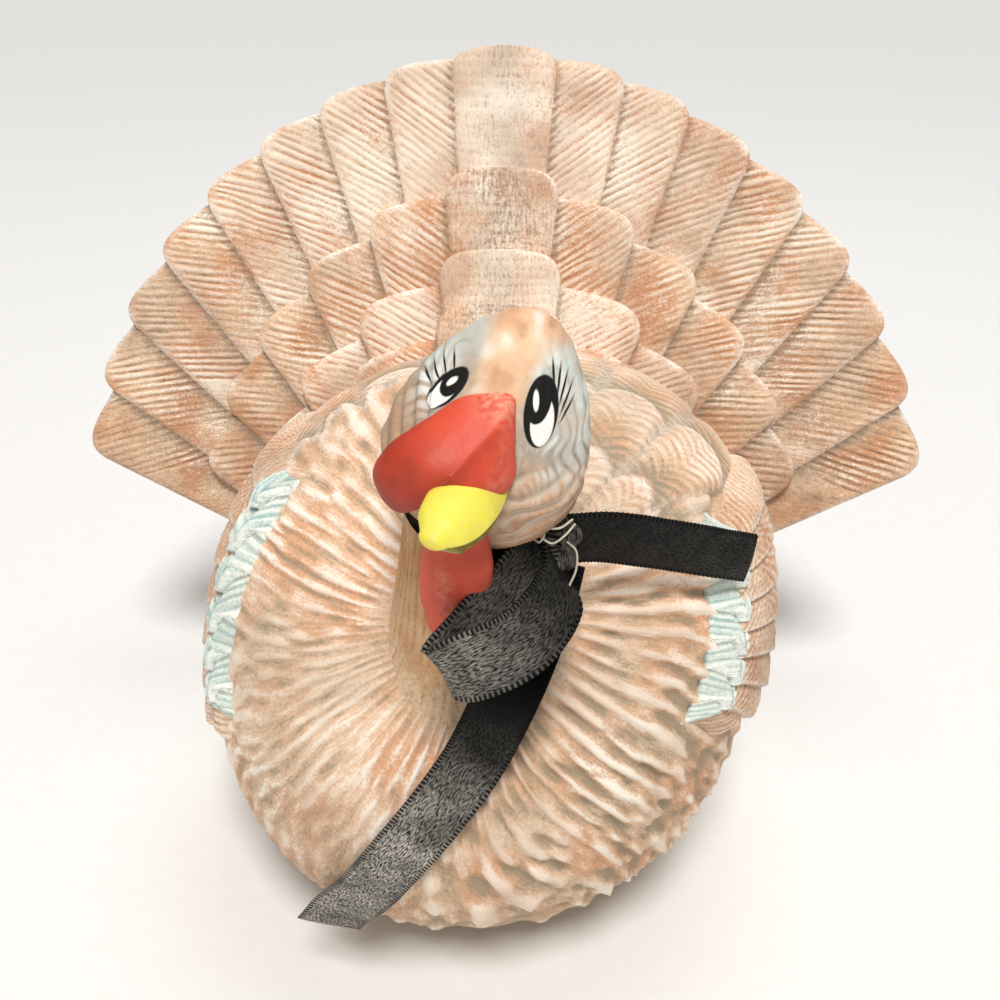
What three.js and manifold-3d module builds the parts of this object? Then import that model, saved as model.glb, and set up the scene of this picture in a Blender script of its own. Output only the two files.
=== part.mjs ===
// Turkey figure of slip-cast painted earthenware with a satin ribbon tied round its neck.
// Millimetres, +Z up, the breast faces -Y, the origin is the bottom centre of the whole figure.
import * as THREE from 'three';
import { mergeVertices } from 'three/addons/utils/BufferGeometryUtils.js';
import Module from 'manifold-3d';

const wasm = await Module();
wasm.setup();

// Fits shared by all pieces.
const JOINT_GAP = 0.3; // slip line between two castings
const RIBBON_GAP = 0.3; // air between the ribbon and what it touches
const ROUND_STEPS = 18; // points round a lofted piece

// Body: a ball with a flat foot, a hollow inside and a dimple where the neck comes out.
const BODY_HALF_WIDTH = 53.8;
const BODY_FRONT = 59;
const BODY_BACK = 50.5;
const BODY_HALF_HEIGHT = 56;
const BODY_CENTRE_HEIGHT = 50.5;
const BODY_WALL = 5;
const BACK_FULLNESS = 0.8; // how much squarer the back is than a plain ellipse
const BODY_LEAN = 0.085; // sideways per unit of height, so the foot sits a little to the left
const DIMPLE_DEPTH = 9;
const DIMPLE_SPREAD = 0.47; // radians
const DIMPLE_RISE = 0.7; // radians above level
const POUR_HOLE_RADIUS = 10;

// Tufts: carved strands that run out from the dimple over the breast. Angles are radians from the dimple.
const TUFT_STRANDS = 56;
const TUFT_DEPTH = 1.2;
const TUFTS_BEGIN = [0.3, 0.5];
const TUFTS_END = [1.35, 2];
const TUFT_SWIRL = 0.4; // how much the strands of the right side sink as they run out
const SWIRL_MIDDLE = -0.1;
const SWIRL_WIDTH = 0.6;
const TUFT_CROWDING = 0.235; // strands lie close on the left and wide on top
const TUFT_EVENING = 0.0625; // and this much less so half way between
const TUFT_SWAYS = [ // waves in a strand: strands, rate along it, rate round the dimple, start
  [0.35, 5, 3, 0],
  [0.25, 9, -4, 1.3],
];

// Neck and head.
const NECK_SETBACK = 20; // behind the front of the breast
const NECK_TOP_RADIUS = 10.6;
const NECK_FOOT_RADIUS = 15.4;
const NECK_LENGTH = 46;
const NECK_TOP_HEIGHT = 59.4; // above the middle of the body
const HEAD_HALF_WIDTH = 14.5;
const HEAD_HALF_DEPTH = 14.3;
const HEAD_HALF_HEIGHT = 18.1;
const HEAD_JOWL = 0.31; // how much wider the jowls are than the crown
const HEAD_FORWARD = 3.9; // in front of the neck
const HEAD_SHIFT = 4.4; // to the right of the middle
const HEAD_LIFT = 6.8; // above the top of the neck
const HEAD_ROLL = 0.358; // radians, crown to the right

// Snood, beak and wattle, in the frame of the head.
const SNOOD_BULGE = 5; // its front swells this far out of its rim
const SNOOD_BACK = 3;
const BEAK_REACH = 2; // from the middle of the head, in half depths of the head
const BEAK_WIDTH = 11;
const BEAK_DEPTH = 6.2;
const LOWER_BEAK_DEPTH = 2.2;
const WATTLE_LENGTH = 21;
const WATTLE_WIDTH = 10.4;
const WATTLE_DEPTH = 5.4;

// Tail fan: rows of feathers that spread from one root point inside the body.
const FAN_LEAN = 0.26; // radians, backwards
const FAN_ROOT_BACK = 34.7;
const FAN_ROOT_DROP = 26.8; // below the middle of the body
const FEATHER_TILT = 0.09; // radians, each outer edge lifts over the next feather
const FEATHER_ROOT_WIDTH = 5.5;
const FEATHER_CROWN = 0.9; // the middle of a feather stands above the slope of its row
const FEATHER_EDGE = 0.2; // its outward rim does so a little
const FEATHER_RIM_DROP = 0.6; // and the rim that the next feather covers falls below it
const CROWN_SHARE = 0.4; // of the half width, where the crown ends
const TIP_ROUND = 0.28; // of the tip width, where the sides start to round
const TIP_BLUNTNESS = 0.7; // of the half width, as far as the end of the tip pulls straight
const ROW_STEP = 3; // each row stands this far in front of the row behind it
const ROW_SINK = 1.6; // how far a row starts inside the row behind it
const TAIL_THICKNESS = 4.5;
const TAIL_ROWS = {
  outer: { side: 8, spacing: 0.113, spread: 0.0019, length: 136.5, taper: 1.9, droop: 0.19, tip: 23 },
  middle: { side: 5, spacing: 0.172, spread: 0, length: 111, taper: 5.7, droop: 0, tip: 25 },
  inner: { side: 3, spacing: 0.228, spread: 0, length: 93.5, taper: 7, droop: 0, tip: 27 },
  mantle: { side: 2, spacing: 0.28, spread: 0, length: 82, taper: 7.2, droop: 0, tip: 28 },
};

// Wings: pads on the sides of the body, a band of coverts and the long feathers behind it.
const WING_THICKNESS = 2.4;
const COVERT_RISE = 0.9; // the coverts stand this much above the long feathers
const COVERT_WIDTH = 9.6;
const RIGHT_WING_FORWARD = 7; // the right wing sits further forward, higher and shorter than the left one
const RIGHT_WING_RISE = 9;
const RIGHT_WING_HEIGHT = 0.68;

// Ribbon: one strip of satin, seen here as the parts that the knot divides.
const RIBBON_WIDTH = 10;
const RIBBON_THICKNESS = 0.6;
const COLLAR_HEIGHT = 5; // the strip is bunched where it goes round the neck
const COLLAR_TILT = 0.3; // radians, higher at the back
const KNOT_SIZE = [3.2, 3, 5];
const SHORT_TAIL_REACH = 32;
const LOOP_REACH = 16;
const LONG_TAIL_LIFT = 1.2; // above the breast
const LONG_TAIL_SLANT = 4.8; // how far one corner of its cut end is ahead of the middle

const point = (x, y, z) => new THREE.Vector3(x, y, z);

const BODY_CENTRE = point(0, 0, BODY_CENTRE_HEIGHT);
const NECK_TOP = point(HEAD_SHIFT * 0.32, NECK_SETBACK - BODY_FRONT, BODY_CENTRE_HEIGHT + NECK_TOP_HEIGHT);
const DIMPLE = point(0, -Math.cos(DIMPLE_RISE), Math.sin(DIMPLE_RISE));
const DIMPLE_UP = point(0, Math.sin(DIMPLE_RISE), Math.cos(DIMPLE_RISE));
const HEAD_CENTRE = point(HEAD_SHIFT, NECK_TOP.y - HEAD_FORWARD, NECK_TOP.z + HEAD_LIFT);

// Joins rings of points into one closed skin; each end is closed to its own end point.
function loft(rings, first, last) {
  const count = rings[0].length;
  const positions = [first, ...rings.flat(), last].flatMap((p) => [p.x, p.y, p.z]);
  const end = 1 + rings.length * count;
  const faces = [];
  for (let j = 0; j < count; j++) {
    const next = (j + 1) % count;
    faces.push(0, 1 + next, 1 + j);
    for (let i = 0; i + 1 < rings.length; i++) {
      const a = 1 + i * count + j;
      const b = 1 + i * count + next;
      faces.push(a, b, b + count, a, b + count, a + count);
    }
    faces.push(end, end - count + j, end - count + next);
  }
  const geometry = new THREE.BufferGeometry();
  geometry.setAttribute('position', new THREE.Float32BufferAttribute(positions, 3));
  geometry.setIndex(faces);
  return geometry;
}

// Turns a geometry into a solid that can be cut and joined.
function solid(geometry) {
  const bare = geometry.clone();
  bare.deleteAttribute('normal');
  bare.deleteAttribute('uv');
  const merged = mergeVertices(bare);
  return new wasm.Manifold(new wasm.Mesh({
    numProp: 3,
    vertProperties: new Float32Array(merged.attributes.position.array),
    triVerts: new Uint32Array(merged.index.array),
  }));
}

function geometryOf(manifold) {
  const mesh = manifold.getMesh();
  const geometry = new THREE.BufferGeometry();
  geometry.setAttribute('position', new THREE.Float32BufferAttribute(mesh.vertProperties, 3));
  geometry.setIndex(new THREE.Uint32BufferAttribute(mesh.triVerts, 1));
  geometry.computeVertexNormals();
  return geometry;
}

const without = (first, ...cuts) => cuts.reduce((left, cut) => left.subtract(cut), first);

// A block that fills everything below a height.
function below(height) {
  const block = new THREE.BoxGeometry(400, 400, 200);
  block.translate(0, 0, height - 100);
  return solid(block);
}

// A point of the skin of the body in some direction from its middle.
function skinAlong(heading, grow, lean = BODY_LEAN) {
  const flat = Math.hypot(heading.x, heading.y);
  const back = (1 + heading.y / Math.max(flat, 1e-9)) / 2;
  const squareness = 2 + BACK_FULLNESS * back;
  const reach = (flat ** squareness + Math.abs(heading.z) ** squareness) ** (-1 / squareness);
  const away = heading.angleTo(DIMPLE) / DIMPLE_SPREAD;
  const outward = grow - DIMPLE_DEPTH * Math.exp(-away * away);
  const depth = heading.y < 0 ? BODY_FRONT : BODY_BACK;
  const rise = heading.z * reach * (BODY_HALF_HEIGHT + outward);
  return point(
    heading.x * reach * (BODY_HALF_WIDTH + outward) + lean * rise,
    heading.y * reach * (depth + outward),
    rise,
  ).add(BODY_CENTRE);
}

// The same from an angle round +Z and an angle above level.
function bodyPoint(around, above, grow, lean) {
  const level = Math.cos(above);
  return skinAlong(point(Math.cos(around) * level, Math.sin(around) * level, Math.sin(above)), grow, lean);
}

function bodySkin(grow, lean) {
  const around = 44;
  const rows = 22;
  const rings = [];
  for (let i = 1; i < rows; i++) {
    const above = Math.PI * (i / rows - 0.5);
    const ring = [];
    for (let j = 0; j < around; j++) {
      ring.push(bodyPoint((2 * Math.PI * j) / around, above, grow, lean));
    }
    rings.push(ring);
  }
  const foot = bodyPoint(0, -Math.PI / 2, grow, lean);
  return solid(loft(rings, foot, bodyPoint(0, Math.PI / 2, grow, lean)));
}

const smooth = (low, high, x) => THREE.MathUtils.smoothstep(x, low, high);

// How many strands lie between the right side and a turn round the dimple.
function strandAt(turn, away) {
  const fromSwirl = (turn - SWIRL_MIDDLE) / SWIRL_WIDTH;
  const swirled = turn + TUFT_SWIRL * (away - TUFTS_BEGIN[1]) * Math.exp(-fromSwirl * fromSwirl);
  const crowding = TUFT_CROWDING * (Math.cos(swirled) - Math.sin(swirled));
  const spread = swirled + crowding + TUFT_EVENING * Math.sin(2 * swirled);
  let strand = (TUFT_STRANDS * spread) / (2 * Math.PI);
  TUFT_SWAYS.forEach(([size, along, round, start]) => {
    strand += size * Math.sin(along * away + round * turn + start);
  });
  return strand;
}

// The turn at which a strand lies, found in small steps.
function turnOf(strand, away) {
  let turn = (2 * Math.PI * strand) / TUFT_STRANDS;
  for (let i = 0; i < 40; i++) {
    turn -= (0.8 * (strandAt(turn, away) - strand) * 2 * Math.PI) / TUFT_STRANDS;
  }
  return turn;
}

// The skin of the body with its tufts: every other line of points lies in a groove.
function tuftedSkin() {
  const rows = 28;
  const rings = [];
  for (let i = rows - 1; i > 0; i--) {
    const away = (Math.PI * i) / rows;
    const groove = TUFT_DEPTH * smooth(...TUFTS_BEGIN, away) * (1 - smooth(...TUFTS_END, away));
    const ring = [];
    for (let k = 0; k < 2 * TUFT_STRANDS; k++) {
      const turn = turnOf((k - TUFT_STRANDS) / 2, away);
      const heading = DIMPLE.clone().multiplyScalar(Math.cos(away))
        .addScaledVector(point(1, 0, 0), Math.sin(away) * Math.cos(turn))
        .addScaledVector(DIMPLE_UP, Math.sin(away) * Math.sin(turn));
      ring.push(skinAlong(heading, k % 2 === 0 ? -groove : 0));
    }
    rings.push(ring);
  }
  return solid(loft(rings, skinAlong(DIMPLE.clone().negate(), 0), skinAlong(DIMPLE, 0)));
}

// Lofts round sections along a smooth path. A section is [x, y, z, half across, half deep].
function roundLoft(sections, facing, grow, rings) {
  const path = new THREE.CatmullRomCurve3(sections.map((s) => point(s[0], s[1], s[2])));
  const sizes = new THREE.CatmullRomCurve3(sections.map((s) => point(s[3], s[4], 0)));
  const skin = [];
  const last = sections.length - 1;
  for (let i = 0; i <= rings; i++) {
    const t = i / rings;
    const middle = path.getPoint(t);
    const along = path.getTangent(t);
    const size = sizes.getPoint(t);
    const across = facing.clone().cross(along).normalize();
    const deep = along.clone().cross(across);
    const ring = [];
    for (let j = 0; j < ROUND_STEPS; j++) {
      const turn = (2 * Math.PI * j) / ROUND_STEPS;
      const p = middle.clone().addScaledVector(across, (size.x + grow) * Math.cos(turn));
      ring.push(p.addScaledVector(deep, (size.y + grow) * Math.sin(turn)));
    }
    skin.push(ring);
  }
  const start = path.getPoint(0).addScaledVector(path.getTangent(0), -sections[0][4] / 2 - grow);
  const end = path.getPoint(1).addScaledVector(path.getTangent(1), sections[last][4] / 2 + grow);
  return loft(skin, start, end);
}

// Neck: a round column out of the dimple, wider at its foot.
function neckSkin(grow) {
  const foot = NECK_TOP.clone().add(point(-NECK_LENGTH * 0.078, NECK_LENGTH * 0.065, -NECK_LENGTH));
  const waist = NECK_TOP.clone().add(point(-NECK_LENGTH * 0.039, NECK_LENGTH * 0.011, -NECK_LENGTH * 0.55));
  return solid(roundLoft([
    [foot.x, foot.y, foot.z, NECK_FOOT_RADIUS, NECK_FOOT_RADIUS],
    [waist.x, waist.y, waist.z, NECK_TOP_RADIUS * 1.12, NECK_TOP_RADIUS * 1.12],
    [NECK_TOP.x, NECK_TOP.y, NECK_TOP.z, NECK_TOP_RADIUS, NECK_TOP_RADIUS],
  ], point(0, -1, 0), grow, 8));
}

// Head: a pear with its wide end down, tipped to one side.
const headFrame = new THREE.Matrix4().makeRotationY(HEAD_ROLL).setPosition(HEAD_CENTRE);

function headSkin(grow) {
  const rows = 14;
  const rings = [];
  for (let i = 1; i < rows; i++) {
    const above = Math.PI * (i / rows - 0.5);
    const rise = Math.sin(above);
    const girth = Math.cos(above) * (1 - HEAD_JOWL * rise);
    const ring = [];
    for (let j = 0; j < 24; j++) {
      const around = (2 * Math.PI * j) / 24;
      ring.push(point(
        Math.cos(around) * girth * (HEAD_HALF_WIDTH + grow),
        Math.sin(around) * girth * (HEAD_HALF_DEPTH + grow),
        rise * (HEAD_HALF_HEIGHT + grow),
      ));
    }
    rings.push(ring);
  }
  const reach = HEAD_HALF_HEIGHT + grow;
  return solid(loft(rings, point(0, 0, -reach), point(0, 0, reach)).applyMatrix4(headFrame));
}

// Lofts a piece on the head. A section is [x, y, z, half across, half deep]: its place in shares
// of the half sizes of the head, and its half sizes in shares of the piece's own.
function faceLoft(sections, width, depth, facing, grow, rings) {
  const sized = sections.map(([x, y, z, across, deep]) => [
    x * HEAD_HALF_WIDTH, y * HEAD_HALF_DEPTH, z * HEAD_HALF_HEIGHT, (across * width) / 2, (deep * depth) / 2,
  ]);
  return solid(roundLoft(sized, facing, grow, rings).applyMatrix4(headFrame));
}

// Snood: a fleshy flap that starts between the eyes, covers the beak and droops to the left. Its rim
// is in shares of the half sizes of the head, and it swells in front of the rim and behind it.
const SNOOD_RIM = [
  [-0.4, -0.741, 0.392], [-0.028, -0.755, 0.514], [0.076, -0.853, 0.354], [0.166, -0.923, 0.188],
  [0.262, -0.979, 0], [0.207, -1.049, -0.122], [-0.103, -1.119, -0.166], [-0.386, -1.154, -0.276],
  [-0.524, -1.154, -0.475], [-0.655, -1.119, -0.564], [-0.793, -1.084, -0.536], [-0.986, -1.049, -0.376],
  [-0.979, -1.014, -0.149], [-0.71, -0.895, 0.155],
];
const SNOOD_MIDDLE = [-0.345, -1.063, -0.028];

function snoodSkin(grow) {
  const onHead = ([x, y, z]) => point(x * HEAD_HALF_WIDTH, y * HEAD_HALF_DEPTH, z * HEAD_HALF_HEIGHT);
  const middle = onHead(SNOOD_MIDDLE);
  const rim = new THREE.CatmullRomCurve3(SNOOD_RIM.map(onHead), true).getPoints(28).slice(0, 28);
  const ringAt = (share, bulge) => rim.map((edge) => {
    const outwards = edge.clone().sub(middle);
    const reach = share * (1 + grow / outwards.length());
    const p = middle.clone().addScaledVector(outwards, reach);
    p.y -= bulge * Math.sqrt(1 - share * share) + Math.sign(bulge) * grow;
    return p;
  });
  const shares = [0.35, 0.65, 0.87, 0.98];
  const front = shares.map((share) => ringAt(share, SNOOD_BULGE));
  const back = shares.map((share) => ringAt(share, -SNOOD_BACK)).reverse();
  const start = middle.clone().add(point(0, -SNOOD_BULGE - grow, 0));
  const end = middle.clone().add(point(0, SNOOD_BACK + grow, 0));
  return solid(loft([...front, ...back], start, end).applyMatrix4(headFrame));
}

function upperBeakSkin(grow) {
  return faceLoft([
    [-0.079, -0.35 * BEAK_REACH, -0.14, 1, 1],
    [-0.111, -0.68 * BEAK_REACH, -0.221, 0.98, 1],
    [-0.19, -0.87 * BEAK_REACH, -0.315, 0.76, 0.8],
    [-0.228, -0.95 * BEAK_REACH, -0.378, 0.4, 0.4],
  ], BEAK_WIDTH, BEAK_DEPTH, point(0, 0, 1), grow, 8);
}

function lowerBeakSkin(grow) {
  return faceLoft([
    [-0.025, -0.35 * BEAK_REACH, -0.335, 0.9, 1],
    [-0.046, -0.66 * BEAK_REACH, -0.395, 0.86, 1],
    [-0.13, -0.84 * BEAK_REACH, -0.475, 0.4, 0.7],
  ], BEAK_WIDTH, LOWER_BEAK_DEPTH, point(0, 0, 1), grow, 6);
}

// Wattle: a flat lobe that hangs from the chin in front of the neck.
function wattleSkin(grow) {
  const top = -0.54;
  const length = WATTLE_LENGTH / HEAD_HALF_HEIGHT;
  return faceLoft([
    [-0.072, -1.119, top, 0.8, 1],
    [0.067, -0.951, top - length * 0.35, 1, 1],
    [0.212, -0.769, top - length * 0.75, 0.86, 0.9],
    [0.254, -0.727, top - length * 0.95, 0.5, 0.6],
  ], WATTLE_WIDTH, WATTLE_DEPTH, point(0, -1, 0), grow, 10);
}

// One feather: narrow at the root, blunt and round at the tip. Its outward rim stands over the next
// feather, and the middle feather, with no outward side, stands over both its neighbours.
function featherBlade(length, tip, thickness, outward) {
  const half = tip / 2;
  const bend = new THREE.CubicBezierCurve(
    new THREE.Vector2(half, length - TIP_ROUND * tip),
    new THREE.Vector2(half, length - (TIP_ROUND / 7) * tip),
    new THREE.Vector2(half * TIP_BLUNTNESS, length),
    new THREE.Vector2(0, length),
  );
  const stations = [new THREE.Vector2(FEATHER_ROOT_WIDTH / 2, 0), ...bend.getPoints(5).slice(0, 5)];
  const rings = stations.map(({ x: side, y }) => {
    const crest = thickness + FEATHER_CROWN;
    const edge = thickness + FEATHER_EDGE;
    const covered = thickness - FEATHER_RIM_DROP;
    const right = outward >= 0 ? edge : covered;
    const left = outward <= 0 ? edge : covered;
    return [[CROWN_SHARE, crest], [1, right], [1, 0], [-1, 0], [-1, left], [-CROWN_SHARE, crest]]
      .map(([share, z]) => point(share * side, y, z));
  });
  return loft(rings, point(0, 0, thickness / 2), point(0, length, thickness / 2));
}

const fanFrame = new THREE.Matrix4().makeRotationX(Math.PI / 2 - FAN_LEAN)
  .setPosition(0, FAN_ROOT_BACK, BODY_CENTRE_HEIGHT - FAN_ROOT_DROP);

// A row of feathers in one fan; each row stands one step in front of the row behind it.
function tailRow(row, step, grow) {
  const thickness = (step === 0 ? TAIL_THICKNESS : ROW_STEP + ROW_SINK) + grow;
  const back = (step === 0 ? -TAIL_THICKNESS : (step - 1) * ROW_STEP - ROW_SINK);
  let joined = null;
  for (let k = -row.side; k <= row.side; k++) {
    const out = Math.abs(k);
    const length = row.length - out * (row.taper + row.droop * out);
    const feather = featherBlade(length, row.tip, thickness, Math.sign(k));
    const lift = k === 0 ? (row.tip * FEATHER_TILT) / 3 : 0;
    feather.rotateY(-Math.sign(k) * FEATHER_TILT);
    feather.rotateZ(-k * (row.spacing + row.spread * out));
    feather.translate(0, 0, back + lift);
    const part = solid(feather.applyMatrix4(fanFrame));
    joined = joined ? joined.add(part) : part;
  }
  return joined;
}

// Wing edges in side view, from the middle of the body, in shares of its front and its half height.
// The coverts run down the front edge, and the feather ends swell past the back edge.
const onBody = (edge) => edge.map(([y, z]) => [y * BODY_FRONT, z * BODY_HALF_HEIGHT]);
const FRONT_EDGE = onBody([
  [-0.339, 0.786], [-0.424, 0.625], [-0.492, 0.446], [-0.542, 0.295], [-0.593, 0.179], [-0.636, 0.107],
]);
const BACK_EDGE = onBody([
  [-0.424, -0.089], [-0.203, -0.161], [0.034, -0.161], [0.237, -0.071], [0.373, 0.107],
  [0.441, 0.357], [0.373, 0.607], [0.136, 0.768],
]);
const WING_MIDDLE = onBody([[-0.068, 0.286]]);
const FEATHER_END_BULGE = 1.22; // how far a feather end swells, from the middle of the wing

// The front edge of the wing pushed back along the body.
function frontEdge(distance) {
  return FRONT_EDGE.map(([y, z], i) => {
    const share = i / (FRONT_EDGE.length - 1);
    return [y + distance * (1 - 0.25 * share), z - distance * 0.75 * share];
  });
}

// A side view as it is on one side of the figure.
function onSide(edge, side) {
  if (side < 0) {
    return edge;
  }
  return edge.map(([y, z]) => [y - RIGHT_WING_FORWARD, z * RIGHT_WING_HEIGHT + RIGHT_WING_RISE]);
}

// A block through one side of the body with a given side view.
function sideBlock(outline, side) {
  const reach = BODY_HALF_WIDTH * 1.36;
  const inner = BODY_HALF_WIDTH * 0.26;
  const block = new THREE.ExtrudeGeometry(outline, {
    depth: reach - inner, bevelEnabled: false, curveSegments: 3,
  });
  block.applyMatrix4(new THREE.Matrix4().makeBasis(point(0, 1, 0), point(0, 0, 1), point(1, 0, 0)));
  block.translate(side > 0 ? inner : -reach, BODY_CENTRE.y, BODY_CENTRE.z);
  return solid(block);
}

function coverts(side) {
  const edges = onSide([...frontEdge(COVERT_WIDTH), ...frontEdge(0).reverse()], side);
  const band = new THREE.Shape(edges.map(([y, z]) => new THREE.Vector2(y, z)));
  const pad = bodySkin(JOINT_GAP + WING_THICKNESS + COVERT_RISE);
  return sideBlock(band, side).intersect(pad).subtract(bodySkin(JOINT_GAP));
}

function primaries(side) {
  const outline = new THREE.Shape();
  const start = onSide(frontEdge(COVERT_WIDTH + JOINT_GAP), side);
  const [[middleY, middleZ]] = onSide(WING_MIDDLE, side);
  outline.moveTo(...start[0]);
  start.slice(1).forEach((edge) => outline.lineTo(...edge));
  let [y, z] = start[start.length - 1];
  onSide(BACK_EDGE, side).forEach(([nextY, nextZ]) => {
    const swellY = middleY + FEATHER_END_BULGE * ((y + nextY) / 2 - middleY);
    const swellZ = middleZ + FEATHER_END_BULGE * ((z + nextZ) / 2 - middleZ);
    outline.quadraticCurveTo(swellY, swellZ, nextY, nextZ);
    [y, z] = [nextY, nextZ];
  });
  const pad = bodySkin(JOINT_GAP + WING_THICKNESS);
  return sideBlock(outline, side).intersect(pad).subtract(bodySkin(JOINT_GAP));
}

// A flat strip along a smooth path. Each control has a point and the direction across the strip.
function strip(controls, steps, slant = 0, grow = 0) {
  const path = new THREE.CatmullRomCurve3(controls.map((c) => c.at));
  const lay = new THREE.CatmullRomCurve3(controls.map((c) => c.across));
  const rings = [];
  for (let i = 0; i <= steps; i++) {
    const along = path.getTangent(i / steps);
    const across = lay.getPoint(i / steps);
    across.addScaledVector(along, -across.dot(along)).setLength(RIBBON_WIDTH / 2 + grow);
    const face = along.clone().cross(across).setLength(RIBBON_THICKNESS / 2 + grow);
    const skew = along.clone().multiplyScalar(i === steps ? slant : 0);
    const middle = path.getPoint(i / steps);
    rings.push([[1, -1], [1, 1], [-1, 1], [-1, -1]].map(([a, f]) => middle.clone()
      .addScaledVector(across, a).addScaledVector(face, f).addScaledVector(skew, a)));
  }
  return solid(loft(rings, path.getPoint(0), path.getPoint(1)));
}

const COLLAR_CENTRE = NECK_TOP.clone().add(point(0, 0, -2 * COLLAR_HEIGHT));
const KNOT = COLLAR_CENTRE.clone()
  .add(point(NECK_TOP_RADIUS + KNOT_SIZE[0] / 2, -NECK_TOP_RADIUS * 0.8, -KNOT_SIZE[2] / 10));
const fromKnot = (x, y, z, length) => point(x, y, z).multiplyScalar(length).add(KNOT);

function collarRing() {
  const band = new THREE.BoxGeometry(80, 80, COLLAR_HEIGHT);
  band.rotateX(COLLAR_TILT);
  band.translate(COLLAR_CENTRE.x, COLLAR_CENTRE.y, COLLAR_CENTRE.z);
  const sleeve = neckSkin(RIBBON_GAP + RIBBON_THICKNESS).subtract(neckSkin(RIBBON_GAP));
  return sleeve.intersect(solid(band));
}

function knotSkin(grow) {
  const ball = new THREE.SphereGeometry(1, 14, 10);
  ball.scale(KNOT_SIZE[0] + grow, KNOT_SIZE[1] + grow, KNOT_SIZE[2] + grow);
  ball.translate(KNOT.x, KNOT.y, KNOT.z);
  return solid(ball);
}

// Open bow loop: out of the knot, forward and down to a fold on the left, and back behind itself.
function loopStrip(grow) {
  const from = (x, y, z) => fromKnot(x, y, z, LOOP_REACH);
  const front = point(0.35, -0.4, -0.85);
  const back = point(0.4, 0.1, -0.9);
  return strip([
    { at: from(0.019, -0.062, -0.094), across: front },
    { at: from(0.038, -0.406, -0.281), across: front },
    { at: from(-0.25, -0.844, -0.5), across: front },
    { at: from(-0.68, -1.031, -0.656), across: front },
    { at: from(-1, -0.969, -0.781), across: back },
    { at: from(-0.75, -0.7, -0.562), across: back },
    { at: from(-0.4, -0.412, -0.25), across: back },
    { at: from(-0.062, -0.062, 0.062), across: back },
  ], 28, 0, grow);
}

function shortTail() {
  const from = (x, y, z) => fromKnot(x, y, z, SHORT_TAIL_REACH);
  const across = point(-0.15, 0.24, -0.96);
  return strip([
    { at: from(0.016, 0, 0.019), across },
    { at: from(0.25, 0.094, -0.019), across },
    { at: from(0.55, 0.25, -0.144), across },
    { at: from(1, 0.484, -0.344), across },
  ], 8);
}

// Long tail: from the knot down the breast, flat to the skin and always the same lift above it.
function longTail() {
  const lift = LONG_TAIL_LIFT + RIBBON_THICKNESS;
  const from = (x, y, z) => fromKnot(x, y, z, RIBBON_WIDTH);
  const onBreast = (around, above, extra) =>
    bodyPoint(around - Math.PI / 2, above, lift + LONG_TAIL_LIFT * extra);
  const path = [
    from(-0.04, 0.04, -0.3),
    from(-0.24, -0.34, -1.1),
    from(-0.62, -0.94, -1.95),
    onBreast(0, 0.25, 1),
    onBreast(-0.09, 0.1, 0.33),
    onBreast(-0.19, -0.07, 0),
    onBreast(-0.31, -0.29, 0),
    onBreast(-0.42, -0.45, 1),
    onBreast(-0.48, -0.54, 2.5),
  ];
  const controls = path.map((at, i) => {
    const ahead = path[Math.min(i + 1, path.length - 1)];
    const along = ahead.clone().sub(path[Math.max(i - 1, 0)]);
    return { at, across: along.cross(at.clone().sub(BODY_CENTRE)).normalize() };
  });
  return strip(controls, 22, LONG_TAIL_SLANT);
}

const paint = (color, roughness) => new THREE.MeshStandardMaterial({ color, roughness, metalness: 0 });
const BISQUE = paint(0xc98f6b, 0.85);
const PALE_BISQUE = paint(0xd9b093, 0.85);
const COVERT_PAINT = paint(0xa9c0c2, 0.85);
const RED_PAINT = paint(0xb8342a, 0.6);
const YELLOW_PAINT = paint(0xe6d63c, 0.5);
const SATIN = paint(0x0c0c0d, 0.4);

const bodyCut = bodySkin(JOINT_GAP);
const headCut = headSkin(JOINT_GAP);
const neckCut = neckSkin(JOINT_GAP);
const snoodCut = snoodSkin(JOINT_GAP);
const upperBeakCut = upperBeakSkin(JOINT_GAP);
const lowerBeakCut = lowerBeakSkin(JOINT_GAP);
const wattleCut = wattleSkin(RIBBON_GAP);
const knotCut = knotSkin(RIBBON_GAP);
const loopCut = loopStrip(RIBBON_GAP);
const collarCut = neckSkin(2 * RIBBON_GAP + RIBBON_THICKNESS);

const pourHole = new THREE.CylinderGeometry(POUR_HOLE_RADIUS, POUR_HOLE_RADIUS, 60, 32);
pourHole.rotateX(Math.PI / 2);
const cavity = bodySkin(-BODY_WALL, 0).subtract(below(BODY_WALL));
const bodyShell = without(tuftedSkin(), below(0), cavity, solid(pourHole));

const outerRow = tailRow(TAIL_ROWS.outer, 0, 0);
const middleRow = tailRow(TAIL_ROWS.middle, 1, 0);
const innerRow = tailRow(TAIL_ROWS.inner, 2, 0);
const mantleRow = tailRow(TAIL_ROWS.mantle, 3, 0);
const outerCut = tailRow(TAIL_ROWS.outer, 0, JOINT_GAP);
const middleCut = tailRow(TAIL_ROWS.middle, 1, JOINT_GAP);
const innerCut = tailRow(TAIL_ROWS.inner, 2, JOINT_GAP);

const figure = new THREE.Group();
figure.name = 'turkey_figure';

function place(name, shape, material) {
  const mesh = new THREE.Mesh(geometryOf(shape), material);
  mesh.name = name;
  figure.add(mesh);
}

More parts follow.
